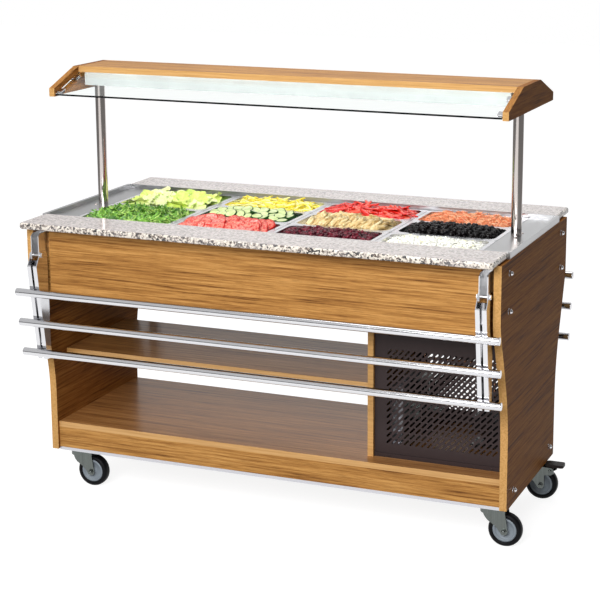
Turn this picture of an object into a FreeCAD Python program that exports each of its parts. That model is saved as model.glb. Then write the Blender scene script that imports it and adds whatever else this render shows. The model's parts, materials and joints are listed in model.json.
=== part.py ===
"""Mobile refrigerated salad bar: every piece is written as its own STEP file.

Millimetres. +Z is up from the floor, the customer side faces -Y and the length runs along X.
The body is first built about its own middle, then everything is shifted along X so that the
origin lies under the middle of the overall footprint.
"""
import FreeCAD, Part
import math
import os

os.makedirs("parts", exist_ok=True)

V = FreeCAD.Vector
AXIS_X = V(1, 0, 0)
AXIS_Y = V(0, 1, 0)
AXIS_Z = V(0, 0, 1)
ORIGIN = V(0, 0, 0)

# ---------------------------------------------------------------- driving dimensions
# carcass
BODY_LENGTH = 1500.0          # over the outer faces of the two side panels
PANEL_THICKNESS = 22.0
PANEL_BOTTOM_Z = 128.0        # floor to the lower edge of the side panels
PANEL_TOP_Z = 873.0
PANEL_TOP_HALF_DEPTH = 361.0
PANEL_FOOT_HALF_DEPTH = 264.0
EDGE_BEND_DROP = 161.0        # from the panel top to where its edge starts to lean in
EDGE_LEAN = 19.5              # degrees
EDGE_UPPER_RADIUS = 100.0
EDGE_LOWER_RADIUS = 620.0
BOARD = 18.0                  # thickness of the inner boards

APRON_FRONT = 340.0           # distance of the apron face from the middle plane
APRON_HEIGHT = 218.0
RECESS_WIDTH = 42.0           # rebate at each apron end that takes the tray-slide bracket
RECESS_DEPTH = 10.0

SHELF_HALF_DEPTH = 254.0      # bottom shelf and plinth
SHELF_TOP_Z = 218.0
SKIRT_BOTTOM_Z = 134.0
SKIRT_THICKNESS = 16.0
TRIM_HEIGHT = 10.0
TRIM_WIDTH = 16.0
MIDDLE_SHELF_TOP_Z = 443.0
MIDDLE_SHELF_HALF_DEPTH = 192.0
PARTITION_X = 300.0           # left face of the board beside the machine compartment
PARTITION_HALF_DEPTH = 202.0

# frame
FRAME_RAIL_Y = 200.0          # middle of each long rail under the bottom shelf
FRAME_RAIL_WIDTH = 30.0
RAIL_WALL = 2.0
RAIL_END_PLATE = 6.0
CROSS_RAIL_HALF_WIDTH = 20.0
CROSS_RAIL_HEIGHT = 40.0
PAD_THICKNESS = 5.0           # plates under the long rails that take the casters
PAD_MARGIN = 1.0
TOP_RAIL_INNER_Y = 278.0
TOP_RAIL_WIDTH = 20.0
TOP_RAIL_HEIGHT = 60.0
LOWER_RAIL_HEIGHT = 30.0
NUT_UPPER_Y = 285.0
NUT_DROPS = (36.0, 145.0)      # below the panel top
NUT_LOWER_Z = 173.0
NUT_SHANK_RADIUS = 4.0
NUT_ACROSS_FLATS = 13.0
NUT_HEIGHT = 6.0
NUT_DOME_RADIUS = 6.4
NUT_WASHER_RADIUS = 8.0
NUT_WASHER = 1.2
NUT_SHANK_IN_RAIL = 14.0       # length of screw inside the rail
FIXED_CLEARANCE = 0.1
RUNNING_CLEARANCE = 0.05

# worktop
SLAB_LENGTH = 1484.0
SLAB_OUTER_HALF_DEPTH = 420.0
SLAB_INNER_HALF_DEPTH = 272.0
SLAB_THICKNESS = 20.0
SLAB_CORNER_RADIUS = 12.0
SLAB_EDGE_RADIUS = 7.0

# refrigerated tub
SHEET = 1.5
DECK_DROP = 12.0              # deck surface below the slab surface
LEDGE_DROP = 3.0              # ledge below the deck surface, carries the pan rims
PAN_PITCH = 328.0             # one column of pans
PAN_COLUMNS = 4
PAN_LENGTH = 325.0
PAN_FIELD_HALF_DEPTH = 265.0
PAN_GAP = 1.0
PAN_RIM = 12.0
PAN_DEPTH = 150.0
PAN_SHEET = 1.0
PAN_CORNER = 22.0
PAN_RIM_CORNER = 8.0
WELL_LEDGE = 7.5              # width of ledge under a pan rim
TUB_DEPTH = 188.0             # ledge to the tub floor
FOAM_SIDE = 18.0
FOAM_FLOOR = 35.0
CASING_SHEET = 1.0
DRAIN_X = 500.0
DRAIN_RADIUS = 12.0
DRAIN_PIPE_RADIUS = 11.9
DRAIN_BORE = 9.0
DRAIN_LENGTH = 130.0
VALVE_DROP = 100.0            # tub floor to the middle of the valve
VALVE_RADIUS = 17.0
VALVE_HALF_LENGTH = 24.0
VALVE_NUT = 30.0
VALVE_NUT_HALF_HEIGHT = 22.0
LEVER_LENGTH = 70.0
LEVER_HALF_WIDTH = 6.0
LEVER_SHEET = 4.0
VALVE_STEM = 12.0              # from the valve body to the lever
END_RIM_WIDTH = 12.0
BAR_FLANGE = 18.0
BAR_WEB = 2.6
BAR_DEPTH = 12.0

# sneeze guard
POST_X = 688.0
POST_RADIUS = 15.75
POST_WALL = 1.5
POST_STUD_RADIUS = 5.0
POST_STUD_DROP = 24.0          # stud below the deck
POST_NUT = 17.0
POST_NUT_HEIGHT = 9.0
POST_PLUG = 6.0               # solid length at both ends of a post
DECK_SCREW_RADIUS = 7.0
DECK_SCREW_X = 8.0            # outwards from the post's middle
DECK_SCREW_Y = 34.0
GABLE_BOTTOM_RISE = 380.0     # this and the next rises start at the panel top
GABLE_SHOULDER_RISE = 405.0
GUARD_TOP_RISE = 458.0
GABLE_HALF_DEPTH = 240.0
GUARD_TOP_HALF_DEPTH = 92.0
GLASS_THICKNESS = 6.0
GLASS_EDGE_RISE = 389.0
CLIP_SHARES = (0.25, 0.86)    # places of the clips along the pane's slope
CLIP_HALF_WIDTH = 12.0
CLIP_WALL = 2.0
CLIP_REACH = 20.0             # inwards from the gable
HOUSING_HALF_LENGTH = 689.0
HOUSING_HALF_DEPTH = 88.0
HOUSING_END_GAP = 20.0         # to each gable
HOUSING_BOTTOM_RISE = 397.0
LAMP_RADIUS = 8.0
LAMP_LENGTH = 1150.0
LAMP_RISE = 16.0              # lamp axis above the housing's lower edge
LAMP_HOLDER_LENGTH = 14.0
LAMP_HOLDER_HALF_WIDTH = 12.0
BATTEN_HALF_WIDTH = 16.0
BATTEN_HEIGHT = 12.0
HOUSING_LIP = 14.0

# folding tray slides
ARM_X = 707.0                 # middle of each arm
ARM_WIDTH = 33.0
ARM_SHEET = 2.5
ARM_SLOT = 7.0
PIVOT_Y = 380.0
PIVOT_DROP = 85.0             # below the panel top
PIVOT_RADIUS = 4.0
ARM_LEAN = 8.0                # degrees, folded position
ARM_FACE = 34.0               # pivot to the arm's outer face, square to it
ARM_FACE_START = 26.5         # pivot to the upper end of that face, along it
ARM_END = 329.0
ARM_BACK_Y = 346.0
TUBE_RADIUS = 12.0
TUBE_WALL = 1.5
TUBE_HALF_LENGTH = 763.0
TUBE_STATIONS = (108.0, 206.0, 304.0)
CAP_THICKNESS = 3.0
BRACKET_TOP_DROP = 18.0
BRACKET_FRONT_Y = 388.0

# machine compartment
GRILLE_FACE_Y = 190.0
GRILLE_SHEET = 1.2
GRILLE_STEP = 3.0
GRILLE_BOTTOM_STRIP = 13.0
GRILLE_FOLD_DROP = 69.0        # below the apron
GRILLE_SCREW_RADIUS = 4.5
GRILLE_SCREW_DEPTH = 2.2       # how far a screw head's centre lies behind the face
GRILLE_SCREW_INSET = (48.0, 44.0)   # from the left and right ends of the sheet
GRILLE_SCREW_RISE = 8.0        # upper screws above the fold
SLOT_COLUMNS = 19
SLOT_ROWS = 15
SLOT_PITCH_X = 18.2
SLOT_PITCH_Z = 19.6
SLOT_LENGTH = 22.0
SLOT_WIDTH = 6.0
SLOT_ANGLE = 46.0
SLOT_FIRST_X = 364.0
SLOT_FIRST_Z = 270.0
CONTROL_RISE = 28.0            # above the grille's fold
KNOB_X = 380.0
SWITCH_X = 450.0
SWITCH_HALF_WIDTH = 9.0
SWITCH_HALF_HEIGHT = 13.5
SWITCH_FRAME_DEPTH = 14.0
SWITCH_TILT = 8.0             # degrees, stored with the lower half pressed in
SWITCH_FRAME_WALL = 2.0
SWITCH_FRAME_EDGE = 1.5       # frame above the grille's face
SWITCH_PIN_RADIUS = 1.5
ROCKER_BACK = 4.0             # behind and in front of the rocker's pivot
ROCKER_FRONT = 3.6
ROCKER_CREST = 5.2
ROCKER_HALF_HEIGHT = 11.0
KNOB_RADIUS = 17.0
KNOB_SPINDLE = 3.0
KNOB_SPINDLE_DEPTH = 18.0
KNOB_SKIRT = 5.0
KNOB_HEIGHT = 17.0
KNOB_GRIP_HALF_WIDTH = 5.0
THERMOSTAT_HALF_WIDTH = 20.0
THERMOSTAT_HALF_HEIGHT = 16.0
THERMOSTAT_DEPTH = 30.0
COMPRESSOR_X = 640.0
COMPRESSOR_Y = 40.0
COMPRESSOR_RADIUS = 62.0
COMPRESSOR_HEIGHT = 164.0      # top of the shell above the shelf
COMPRESSOR_FOOT = 12.0
COMPRESSOR_FOOT_RADIUS = 11.0
COMPRESSOR_PLATE = 3.0
COMPRESSOR_PLATE_HALF_X = 78.0
COMPRESSOR_PLATE_HALF_Y = 70.0
COMPRESSOR_FOOT_INSET = 16.0
SEAM_Z = 88.0
SEAM_HEIGHT = 8.0
SEAM_WIDTH = 4.0
TERMINAL_REACH = 22.0
TERMINAL_HALF_WIDTH = 22.0
TERMINAL_Z0 = 40.0
TERMINAL_Z1 = 84.0
CONDENSER_X0 = 345.0
CONDENSER_X1 = 385.0
CONDENSER_HALF_WIDTH = 130.0
CONDENSER_Z0 = 222.0
CONDENSER_Z1 = 420.0
COIL_TUBE_PITCH = 38.0
COIL_TUBE_OVERHANG = 8.0      # coil tubes beyond the header plates, where the pipes join
COIL_TUBE_RADIUS = 4.5
COIL_TUBE_ROWS = 5
COIL_TUBE_INSET = 12.0         # from both faces of the coil
COIL_FIRST_RISE = 20.0
HEADER_SHEET = 2.0
FIN_COUNT = 32
FIN_THICKNESS = 1.0
DISCHARGE_RADIUS = 4.0
LIQUID_RADIUS = 3.0
SUCTION_RADIUS = 6.0
PIPE_SIDE_GAP = 12.0           # pipes beyond the ends of the coil tubes
DISCHARGE_RISE = 60.0          # above the compressor
SUCTION_RISE = 100.0
DISCHARGE_X = -20.0            # from the compressor's middle
SUCTION_X = 24.0
SUCTION_END_Y = -60.0
FAN_X = 408.0
FAN_Z = 321.0
FAN_RADIUS = 80.0
FAN_HUB_RADIUS = 20.0
FAN_HUB_HALF_LENGTH = 8.0
FAN_SHAFT_RADIUS = 4.0
FAN_BLADES = 5
FAN_BLADE_TWIST = 24.0         # degrees
FAN_BLADE_HALF_WIDTH = 18.0
SHROUD_GAP = 2.0              # from the coil to the shroud's plate
SHROUD_SHEET = 1.5
SHROUD_DEPTH = 36.0
SHROUD_CLEARANCE = 4.5        # blade tips to the collar
MOTOR_RADIUS = 30.0
MOTOR_LENGTH = 50.0
MOTOR_ARM_TURNS = (90.0, 210.0, 330.0)
MOTOR_ARM_HALF_WIDTH = 6.0
MOTOR_ARM_SHEET = 4.0

# casters; distances named REACH, START and END are measured from the swivel axis along X
CASTER_X = 684.0
CASTER_Y = 204.0
CASTER_TRAIL = 48.0
WHEEL_RADIUS = 51.0
WHEEL_WIDTH = 32.0
TYRE_ROUNDING = 6.0
HUB_RADIUS = 36.5
HUB_INSET = 2.0               # hub face behind the tyre's side
HUB_BOSS_RADIUS = 11.0
HUB_DISH_DEPTH = 6.0
HUB_DISH_INNER = 13.0
HUB_FLANGE = 6.0
AXLE_RADIUS = 6.0
AXLE_NUT = 15.0               # across flats
AXLE_NUT_HEIGHT = 3.0
AXLE_NUT_DOME = 6.0
CASTER_PLATE_THICKNESS = 3.0
CASTER_PLATE_HALF_X = 42.0
CASTER_PLATE_HALF_Y = 32.0
CASTER_PLATE_CORNER = 8.0
PLATE_SCREW_X = 33.0
PLATE_SCREW_Y = 22.0
PLATE_SCREW = 10.0            # across flats
PLATE_SCREW_HEAD = 4.0
RACE_RADIUS = 30.0
CASTER_RACE_Z = 118.0
CROWN_BOTTOM_Z = 101.0
CROWN_RADIUS = 29.0
KINGPIN_RADIUS = 6.0
KINGPIN_HEAD = 5.0
FORK_INNER = 19.5             # middle plane of the wheel to the inside of a fork leg
FORK_SHEET = 3.0
FORK_TOP_Z = 112.0
FORK_FOOT_RADIUS = 12.5       # rounded lower end of a leg, about the axle
# leading edge of a fork leg from the crown down to the axle: (reach, height)
FORK_LEADING_EDGE = ((-30.0, 112.0), (-23.0, 103.0), (-12.0, 90.0), (0.0, 78.5), (14.0, 69.5),
                     (28.0, 58.0), (38.0, 44.0))
FORK_TRAILING_REACH = 50.0    # trailing edge of a leg at its top
# trailing edge with the ear that carries the brake pedal, from the axle up
FORK_EAR = ((60.0, 84.0), (80.0, 85.0), (90.0, 92.0), (90.0, 102.0), (84.0, 109.0), (54.0, 110.0))
PEDAL_PIVOT_REACH = 78.0
PEDAL_PIVOT_Z = 100.0
PEDAL_PIN_RADIUS = 3.0
PEDAL_RIVET = 5.0
PEDAL_START = 60.0
PEDAL_END = 118.0
PEDAL_TOP_Z = 119.5
PEDAL_HEIGHT = 9.0
PEDAL_CORNER = 9.0
CHEEK_SHEET = 2.2
CHEEK_HALF_WIDTH = 11.0
CHEEK_FOOT = 6.0              # cheek below and beside the pivot
AIR_GAP = 0.3                 # between curved faces of pieces that move against each other

# ---------------------------------------------------------------- derived dimensions
PANEL_INNER_X = BODY_LENGTH / 2 - PANEL_THICKNESS
EDGE_BEND_Z = PANEL_TOP_Z - EDGE_BEND_DROP
APRON_BOTTOM_Z = PANEL_TOP_Z - APRON_HEIGHT
NUT_HEIGHTS = tuple(PANEL_TOP_Z - drop for drop in NUT_DROPS)
SLAB_TOP_Z = PANEL_TOP_Z + SLAB_THICKNESS
DECK_Z = SLAB_TOP_Z - DECK_DROP
LEDGE_Z = DECK_Z - LEDGE_DROP
TUB_FLOOR_Z = LEDGE_Z - TUB_DEPTH
DRAIN_END_Z = TUB_FLOOR_Z - DRAIN_LENGTH
VALVE_Z = TUB_FLOOR_Z - VALVE_DROP
PAN_FIELD_HALF_LENGTH = PAN_PITCH * PAN_COLUMNS / 2
WELL_HALF_LENGTH = PAN_FIELD_HALF_LENGTH - WELL_LEDGE
WELL_HALF_DEPTH = PAN_FIELD_HALF_DEPTH - WELL_LEDGE
CASING_HALF_LENGTH = WELL_HALF_LENGTH + SHEET + FOAM_SIDE + CASING_SHEET
CASING_HALF_DEPTH = WELL_HALF_DEPTH + SHEET + FOAM_SIDE + CASING_SHEET
CASING_BOTTOM_Z = TUB_FLOOR_Z - FOAM_FLOOR - CASING_SHEET
GABLE_BOTTOM_Z = PANEL_TOP_Z + GABLE_BOTTOM_RISE
GABLE_SHOULDER_Z = PANEL_TOP_Z + GABLE_SHOULDER_RISE
GUARD_TOP_Z = PANEL_TOP_Z + GUARD_TOP_RISE
GUARD_BOARD_Z = GUARD_TOP_Z - BOARD
GLASS_EDGE_Z = PANEL_TOP_Z + GLASS_EDGE_RISE
HOUSING_BOTTOM_Z = PANEL_TOP_Z + HOUSING_BOTTOM_RISE
GABLE_INNER_X = HOUSING_HALF_LENGTH + HOUSING_END_GAP
GABLE_OUTER_X = GABLE_INNER_X + BOARD
PIVOT_Z = PANEL_TOP_Z - PIVOT_DROP
BRACKET_TOP_Z = PANEL_TOP_Z - BRACKET_TOP_DROP
GRILLE_FOLD_Z = APRON_BOTTOM_Z - GRILLE_FOLD_DROP
CONTROL_Z = GRILLE_FOLD_Z + CONTROL_RISE
PEDAL_TIP_X = CASTER_X + PEDAL_END
SWITCH_PIVOT_Y = GRILLE_FACE_Y + GRILLE_STEP - 1.0
SHIFT_X = -(PEDAL_TIP_X - TUBE_HALF_LENGTH) / 2


# ---------------------------------------------------------------- helpers
def box(x0, x1, y0, y1, z0, z1):
    return Part.makeBox(x1 - x0, y1 - y0, z1 - z0, V(x0, y0, z0))


def cylinder(radius, start, direction, length):
    return Part.makeCylinder(radius, length, start, direction)


def ring(outer, inner, start, direction, length):
    return cylinder(outer, start, direction, length).cut(cylinder(inner, start, direction, length))


def prism_x(points, x0, x1):
    """Extrude a polygon of (y, z) points from x0 to x1."""
    corners = [V(x0, y, z) for y, z in points]
    corners.append(corners[0])
    return Part.Face(Part.makePolygon(corners)).extrude(V(x1 - x0, 0, 0))


def prism_y(points, y0, y1):
    """Extrude a polygon of (x, z) points from y0 to y1."""
    corners = [V(x, y0, z) for x, z in points]
    corners.append(corners[0])
    return Part.Face(Part.makePolygon(corners)).extrude(V(0, y1 - y0, 0))


def hexagon(across_flats, start, direction, length):
    """A hexagonal prism whose axis runs along X, Y or Z."""
    corner = across_flats / math.sqrt(3)
    points = []
    for step in range(7):
        turn = math.radians(60 * step)
        if abs(direction.x) > 0.5:
            offset = V(0, corner * math.cos(turn), corner * math.sin(turn))
        elif abs(direction.y) > 0.5:
            offset = V(corner * math.cos(turn), 0, corner * math.sin(turn))
        else:
            offset = V(corner * math.cos(turn), corner * math.sin(turn), 0)
        points.append(start + offset)
    return Part.Face(Part.makePolygon(points)).extrude(direction * length)


def mirrored_x(shape):
    return shape.mirror(ORIGIN, AXIS_X)


def mirrored_y(shape):
    return shape.mirror(ORIGIN, AXIS_Y)


def front_and_rear(shape):
    return [shape, mirrored_y(shape)]


def both_ends(shape):
    return [shape, mirrored_x(shape)]


def four_corners(shape):
    return [copy for end in both_ends(shape) for copy in front_and_rear(end)]


def upright_edges(shape):
    found = []
    for edge in shape.Edges:
        ends = [vertex.Point for vertex in edge.Vertexes]
        if len(ends) == 2 and abs((ends[1] - ends[0]).normalize().z) > 0.99:
            found.append(edge)
    return found


def rounded_box(x0, x1, y0, y1, z0, z1, radius):
    """A box with its four upright edges rounded."""
    plain = box(x0, x1, y0, y1, z0, z1)
    return plain.makeFillet(radius, upright_edges(plain))


def half_ball(radius, centre, direction):
    """Half of a sphere, its flat side at the centre and its dome towards the direction."""
    return Part.makeSphere(radius, centre, direction, 0, 90, 360)


def pipe(points, radius):
    """A round pipe along a run of straight lines, rounded at each corner."""
    path = Part.makePolygon(points)
    circle = Part.Wire(Part.makeCircle(radius, points[0], points[1] - points[0]))
    return path.makePipeShell([circle], True, False, 2)


def save(name, solids):
    """Write one node: a single solid or a group of separate solids."""
    group = solids if isinstance(solids, list) else [solids]
    pieces = [solid for shape in group for solid in shape.Solids]
    shape = pieces[0] if len(pieces) == 1 else Part.makeCompound(pieces)
    shape = shape.copy()
    shape.translate(V(SHIFT_X, 0, 0))
    shape.exportStep("parts/" + name + ".step")


# ---------------------------------------------------------------- carcass
def panel_edge_points():
    """Front edge of a side panel as tangent points: line, arc, line, arc, line."""
    lean = math.radians(EDGE_LEAN)
    upper_in = EDGE_UPPER_RADIUS * (1 - math.cos(lean))
    upper_drop = EDGE_UPPER_RADIUS * math.sin(lean)
    lower_in = EDGE_LOWER_RADIUS * (1 - math.cos(lean))
    lower_drop = EDGE_LOWER_RADIUS * math.sin(lean)
    straight_in = PANEL_TOP_HALF_DEPTH - PANEL_FOOT_HALF_DEPTH - upper_in - lower_in
    straight_drop = straight_in / math.tan(lean)
    start = (PANEL_TOP_HALF_DEPTH, EDGE_BEND_Z)
    upper_end = (start[0] - upper_in, start[1] - upper_drop)
    lower_start = (upper_end[0] - straight_in, upper_end[1] - straight_drop)
    lower_end = (lower_start[0] - lower_in, lower_start[1] - lower_drop)
    half = lean / 2
    upper_middle = (start[0] - EDGE_UPPER_RADIUS * (1 - math.cos(half)),
                    start[1] - EDGE_UPPER_RADIUS * math.sin(half))
    lower_middle = (lower_end[0] + EDGE_LOWER_RADIUS * (1 - math.cos(half)),
                    lower_end[1] + EDGE_LOWER_RADIUS * math.sin(half))
    return start, upper_middle, upper_end, lower_start, lower_middle, lower_end


def side_panel():
    x = PANEL_INNER_X
    start, upper_middle, upper_end, lower_start, lower_middle, lower_end = panel_edge_points()

    def edge_run(side):
        def at(point):
            return V(x, side * point[0], point[1])
        return [
            Part.makeLine(V(x, side * PANEL_TOP_HALF_DEPTH, PANEL_TOP_Z), at(start)),
            Part.Arc(at(start), at(upper_middle), at(upper_end)).toShape(),
            Part.makeLine(at(upper_end), at(lower_start)),
            Part.Arc(at(lower_start), at(lower_middle), at(lower_end)).toShape(),
            Part.makeLine(at(lower_end), V(x, side * PANEL_FOOT_HALF_DEPTH, PANEL_BOTTOM_Z)),
        ]

    top = Part.makeLine(V(x, -PANEL_TOP_HALF_DEPTH, PANEL_TOP_Z),
                        V(x, PANEL_TOP_HALF_DEPTH, PANEL_TOP_Z))
    bottom = Part.makeLine(V(x, -PANEL_FOOT_HALF_DEPTH, PANEL_BOTTOM_Z),
                           V(x, PANEL_FOOT_HALF_DEPTH, PANEL_BOTTOM_Z))
    outline = edge_run(-1) + edge_run(1) + [top, bottom]
    wire = Part.Wire(Part.__sortEdges__(outline))
    panel = Part.Face(wire).extrude(V(PANEL_THICKNESS, 0, 0))
    for y, z in nut_positions():
        hole = cylinder(NUT_SHANK_RADIUS + FIXED_CLEARANCE, V(x - 1, y, z), AXIS_X,
                        PANEL_THICKNESS + 2)
        panel = panel.cut(hole)
    return panel


def nut_positions():
    upper = [(side * NUT_UPPER_Y, z) for side in (-1, 1) for z in NUT_HEIGHTS]
    lower = [(side * FRAME_RAIL_Y, NUT_LOWER_Z) for side in (-1, 1)]
    return upper + lower


def apron():
    front = -APRON_FRONT
    board = box(-PANEL_INNER_X, PANEL_INNER_X, front, front + BOARD, APRON_BOTTOM_Z, PANEL_TOP_Z)
    rebate = box(PANEL_INNER_X - RECESS_WIDTH, PANEL_INNER_X, front, front + RECESS_DEPTH,
                 APRON_BOTTOM_Z, PANEL_TOP_Z)
    for cut in both_ends(rebate):
        board = board.cut(cut)
    return board


def bottom_shelf():
    return box(-PANEL_INNER_X, PANEL_INNER_X, -SHELF_HALF_DEPTH, SHELF_HALF_DEPTH,
               SHELF_TOP_Z - BOARD, SHELF_TOP_Z)


def middle_shelf():
    return box(-PANEL_INNER_X, PARTITION_X, -MIDDLE_SHELF_HALF_DEPTH, MIDDLE_SHELF_HALF_DEPTH,
               MIDDLE_SHELF_TOP_Z - BOARD, MIDDLE_SHELF_TOP_Z)


def partition():
    return box(PARTITION_X, PARTITION_X + BOARD, -PARTITION_HALF_DEPTH, PARTITION_HALF_DEPTH,
               SHELF_TOP_Z, CASING_BOTTOM_Z)


def plinth_board():
    return box(-PANEL_INNER_X, PANEL_INNER_X, -SHELF_HALF_DEPTH,
               -SHELF_HALF_DEPTH + SKIRT_THICKNESS, SKIRT_BOTTOM_Z, SHELF_TOP_Z - BOARD)


def plinth_trim():
    y0 = -SHELF_HALF_DEPTH - 1
    outer = box(-PANEL_INNER_X, PANEL_INNER_X, y0, y0 + TRIM_WIDTH,
                SKIRT_BOTTOM_Z - TRIM_HEIGHT, SKIRT_BOTTOM_Z)
    inner = box(-PANEL_INNER_X - 1, PANEL_INNER_X + 1, y0 + SHEET, y0 + TRIM_WIDTH - SHEET,
                SKIRT_BOTTOM_Z - TRIM_HEIGHT + SHEET, SKIRT_BOTTOM_Z - SHEET)
    return outer.cut(inner)


def rail(y0, y1, z0, z1, stud_points):
    """A box-section rail between the side panels, closed by drilled end plates."""
    inside_x = PANEL_INNER_X - RAIL_END_PLATE
    tube = box(-PANEL_INNER_X, PANEL_INNER_X, y0, y1, z0, z1)
    tube = tube.cut(box(-inside_x, inside_x, y0 + RAIL_WALL, y1 - RAIL_WALL,
                        z0 + RAIL_WALL, z1 - RAIL_WALL))
    for y, z in stud_points:
        hole = cylinder(NUT_SHANK_RADIUS + FIXED_CLEARANCE, V(inside_x - 1, y, z), AXIS_X,
                        RAIL_END_PLATE + 2)
        for cut in both_ends(hole):
            tube = tube.cut(cut)
    return tube


def top_rails():
    y0 = -TOP_RAIL_INNER_Y - TOP_RAIL_WIDTH
    y1 = -TOP_RAIL_INNER_Y
    upper = rail(y0, y1, PANEL_TOP_Z - TOP_RAIL_HEIGHT, PANEL_TOP_Z,
                 [(-NUT_UPPER_Y, NUT_HEIGHTS[0])])
    lower_z = NUT_HEIGHTS[1]
    lower = rail(y0, y1, lower_z - LOWER_RAIL_HEIGHT / 2, lower_z + LOWER_RAIL_HEIGHT / 2,
                 [(-NUT_UPPER_Y, lower_z)])
    return front_and_rear(upper) + front_and_rear(lower)


def base_frame():
    """Two long rails joined by three cross rails, on a pad plate over each caster."""
    half = FRAME_RAIL_WIDTH / 2
    top = SHELF_TOP_Z - BOARD
    long_rail = rail(-FRAME_RAIL_Y - half, -FRAME_RAIL_Y + half, PANEL_BOTTOM_Z + PAD_THICKNESS,
                     top, [(-FRAME_RAIL_Y, NUT_LOWER_Z)])
    inner_y = FRAME_RAIL_Y - half
    bottom = top - CROSS_RAIL_HEIGHT
    outer_x = CASTER_X - CROSS_RAIL_HALF_WIDTH
    cross_rails = []
    for x in (-outer_x, 0.0, outer_x):
        x0 = x - CROSS_RAIL_HALF_WIDTH
        x1 = x + CROSS_RAIL_HALF_WIDTH
        cross = box(x0, x1, -inner_y, inner_y, bottom, top)
        hollow = box(x0 + RAIL_WALL, x1 - RAIL_WALL, -inner_y, inner_y,
                     bottom + RAIL_WALL, top - RAIL_WALL)
        cross_rails.append(cross.cut(hollow))
    pad_x = CASTER_PLATE_HALF_X + PAD_MARGIN
    pad_y = CASTER_PLATE_HALF_Y + PAD_MARGIN
    pad = box(CASTER_X - pad_x, CASTER_X + pad_x, -CASTER_Y - pad_y, -CASTER_Y + pad_y,
              PANEL_BOTTOM_Z, PANEL_BOTTOM_Z + PAD_THICKNESS)
    return front_and_rear(long_rail) + cross_rails + four_corners(pad)


def cap_nut(y, z):
    """Domed nut with washer on the outer face and its screw through panel and rail plate."""
    face = BODY_LENGTH / 2
    washer = ring(NUT_WASHER_RADIUS, NUT_SHANK_RADIUS - 1, V(face, y, z), AXIS_X, NUT_WASHER)
    body = hexagon(NUT_ACROSS_FLATS, V(face + NUT_WASHER, y, z), AXIS_X, NUT_HEIGHT)
    dome = half_ball(NUT_DOME_RADIUS, V(face + NUT_HEIGHT, y, z), AXIS_X)
    shank_start = PANEL_INNER_X - NUT_SHANK_IN_RAIL
    shank = cylinder(NUT_SHANK_RADIUS, V(shank_start, y, z), AXIS_X, face + 2 - shank_start)
    return washer.fuse(body).fuse(dome).fuse(shank).removeSplitter()


def cap_nuts():
    right = [cap_nut(y, z) for y, z in nut_positions()]
    return right + [mirrored_x(nut) for nut in right]


# ---------------------------------------------------------------- worktop and tub
def worktop_slab():
    x = SLAB_LENGTH / 2
    slab = box(-x, x, -SLAB_OUTER_HALF_DEPTH, -SLAB_INNER_HALF_DEPTH, PANEL_TOP_Z, SLAB_TOP_Z)
    outer_corners = [edge for edge in upright_edges(slab)
                     if edge.CenterOfMass.y < -SLAB_INNER_HALF_DEPTH - 1]
    slab = slab.makeFillet(SLAB_CORNER_RADIUS, outer_corners)
    rims = []
    for edge in slab.Edges:
        middle = edge.CenterOfMass
        level = abs(edge.BoundBox.ZLength) < 0.01
        if level and middle.y < -SLAB_INNER_HALF_DEPTH - 0.5:
            rims.append(edge)
    return slab.makeFillet(SLAB_EDGE_RADIUS, rims)


def open_box(half_x, half_y, z0, z1, wall):
    """Floor and four walls of an open-topped sheet box, as separate welded sheets."""
    floor = box(-half_x, half_x, -half_y, half_y, z0, z0 + wall)
    long_wall = box(-half_x, half_x, -half_y, -half_y + wall, z0 + wall, z1)
    end_wall = box(half_x - wall, half_x, -half_y + wall, half_y - wall, z0 + wall, z1)
    return [floor] + front_and_rear(long_wall) + both_ends(end_wall)


def deck_tub():
    """Stainless deck with ledge, deep well, upstands to the slabs and raised end rims."""
    deck_x = PANEL_INNER_X + END_RIM_WIDTH - 4
    slab_y = SLAB_INNER_HALF_DEPTH
    sheet_z = LEDGE_Z - SHEET
    floor, *walls = open_box(WELL_HALF_LENGTH + SHEET, WELL_HALF_DEPTH + SHEET,
                             TUB_FLOOR_Z, sheet_z, SHEET)
    floor = floor.cut(cylinder(DRAIN_RADIUS, V(DRAIN_X, 0, TUB_FLOOR_Z - 1), AXIS_Z, SHEET + 2))
    ledge = box(-deck_x, deck_x, -slab_y, -WELL_HALF_DEPTH, sheet_z, LEDGE_Z)
    end_ledge = box(WELL_HALF_LENGTH, PAN_FIELD_HALF_LENGTH, -WELL_HALF_DEPTH, WELL_HALF_DEPTH,
                    sheet_z, LEDGE_Z)
    end_deck = box(PAN_FIELD_HALF_LENGTH, deck_x, -slab_y + SHEET, slab_y - SHEET,
                   sheet_z, DECK_Z)
    for side in front_and_rear(ledge):
        end_deck = end_deck.cut(side)
    stud_hole = cylinder(POST_STUD_RADIUS + FIXED_CLEARANCE, V(POST_X, 0, LEDGE_Z - 5), AXIS_Z, 12)
    end_deck = end_deck.cut(stud_hole)
    upstand = box(-deck_x, deck_x, -slab_y, -slab_y + SHEET, LEDGE_Z, SLAB_TOP_Z)
    rim = box(deck_x, deck_x + END_RIM_WIDTH, -slab_y, slab_y, PANEL_TOP_Z, SLAB_TOP_Z)
    ends = both_ends(end_ledge) + both_ends(end_deck) + both_ends(rim)
    return [floor] + walls + front_and_rear(ledge) + front_and_rear(upstand) + ends


def insulation():
    x = CASING_HALF_LENGTH - CASING_SHEET
    y = CASING_HALF_DEPTH - CASING_SHEET
    foam = box(-x, x, -y, y, CASING_BOTTOM_Z + CASING_SHEET, PANEL_TOP_Z)
    foam = foam.cut(box(-WELL_HALF_LENGTH - SHEET, WELL_HALF_LENGTH + SHEET,
                        -WELL_HALF_DEPTH - SHEET, WELL_HALF_DEPTH + SHEET,
                        TUB_FLOOR_Z, PANEL_TOP_Z))
    return foam.cut(cylinder(DRAIN_RADIUS, V(DRAIN_X, 0, CASING_BOTTOM_Z), AXIS_Z, FOAM_FLOOR + 1))


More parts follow.
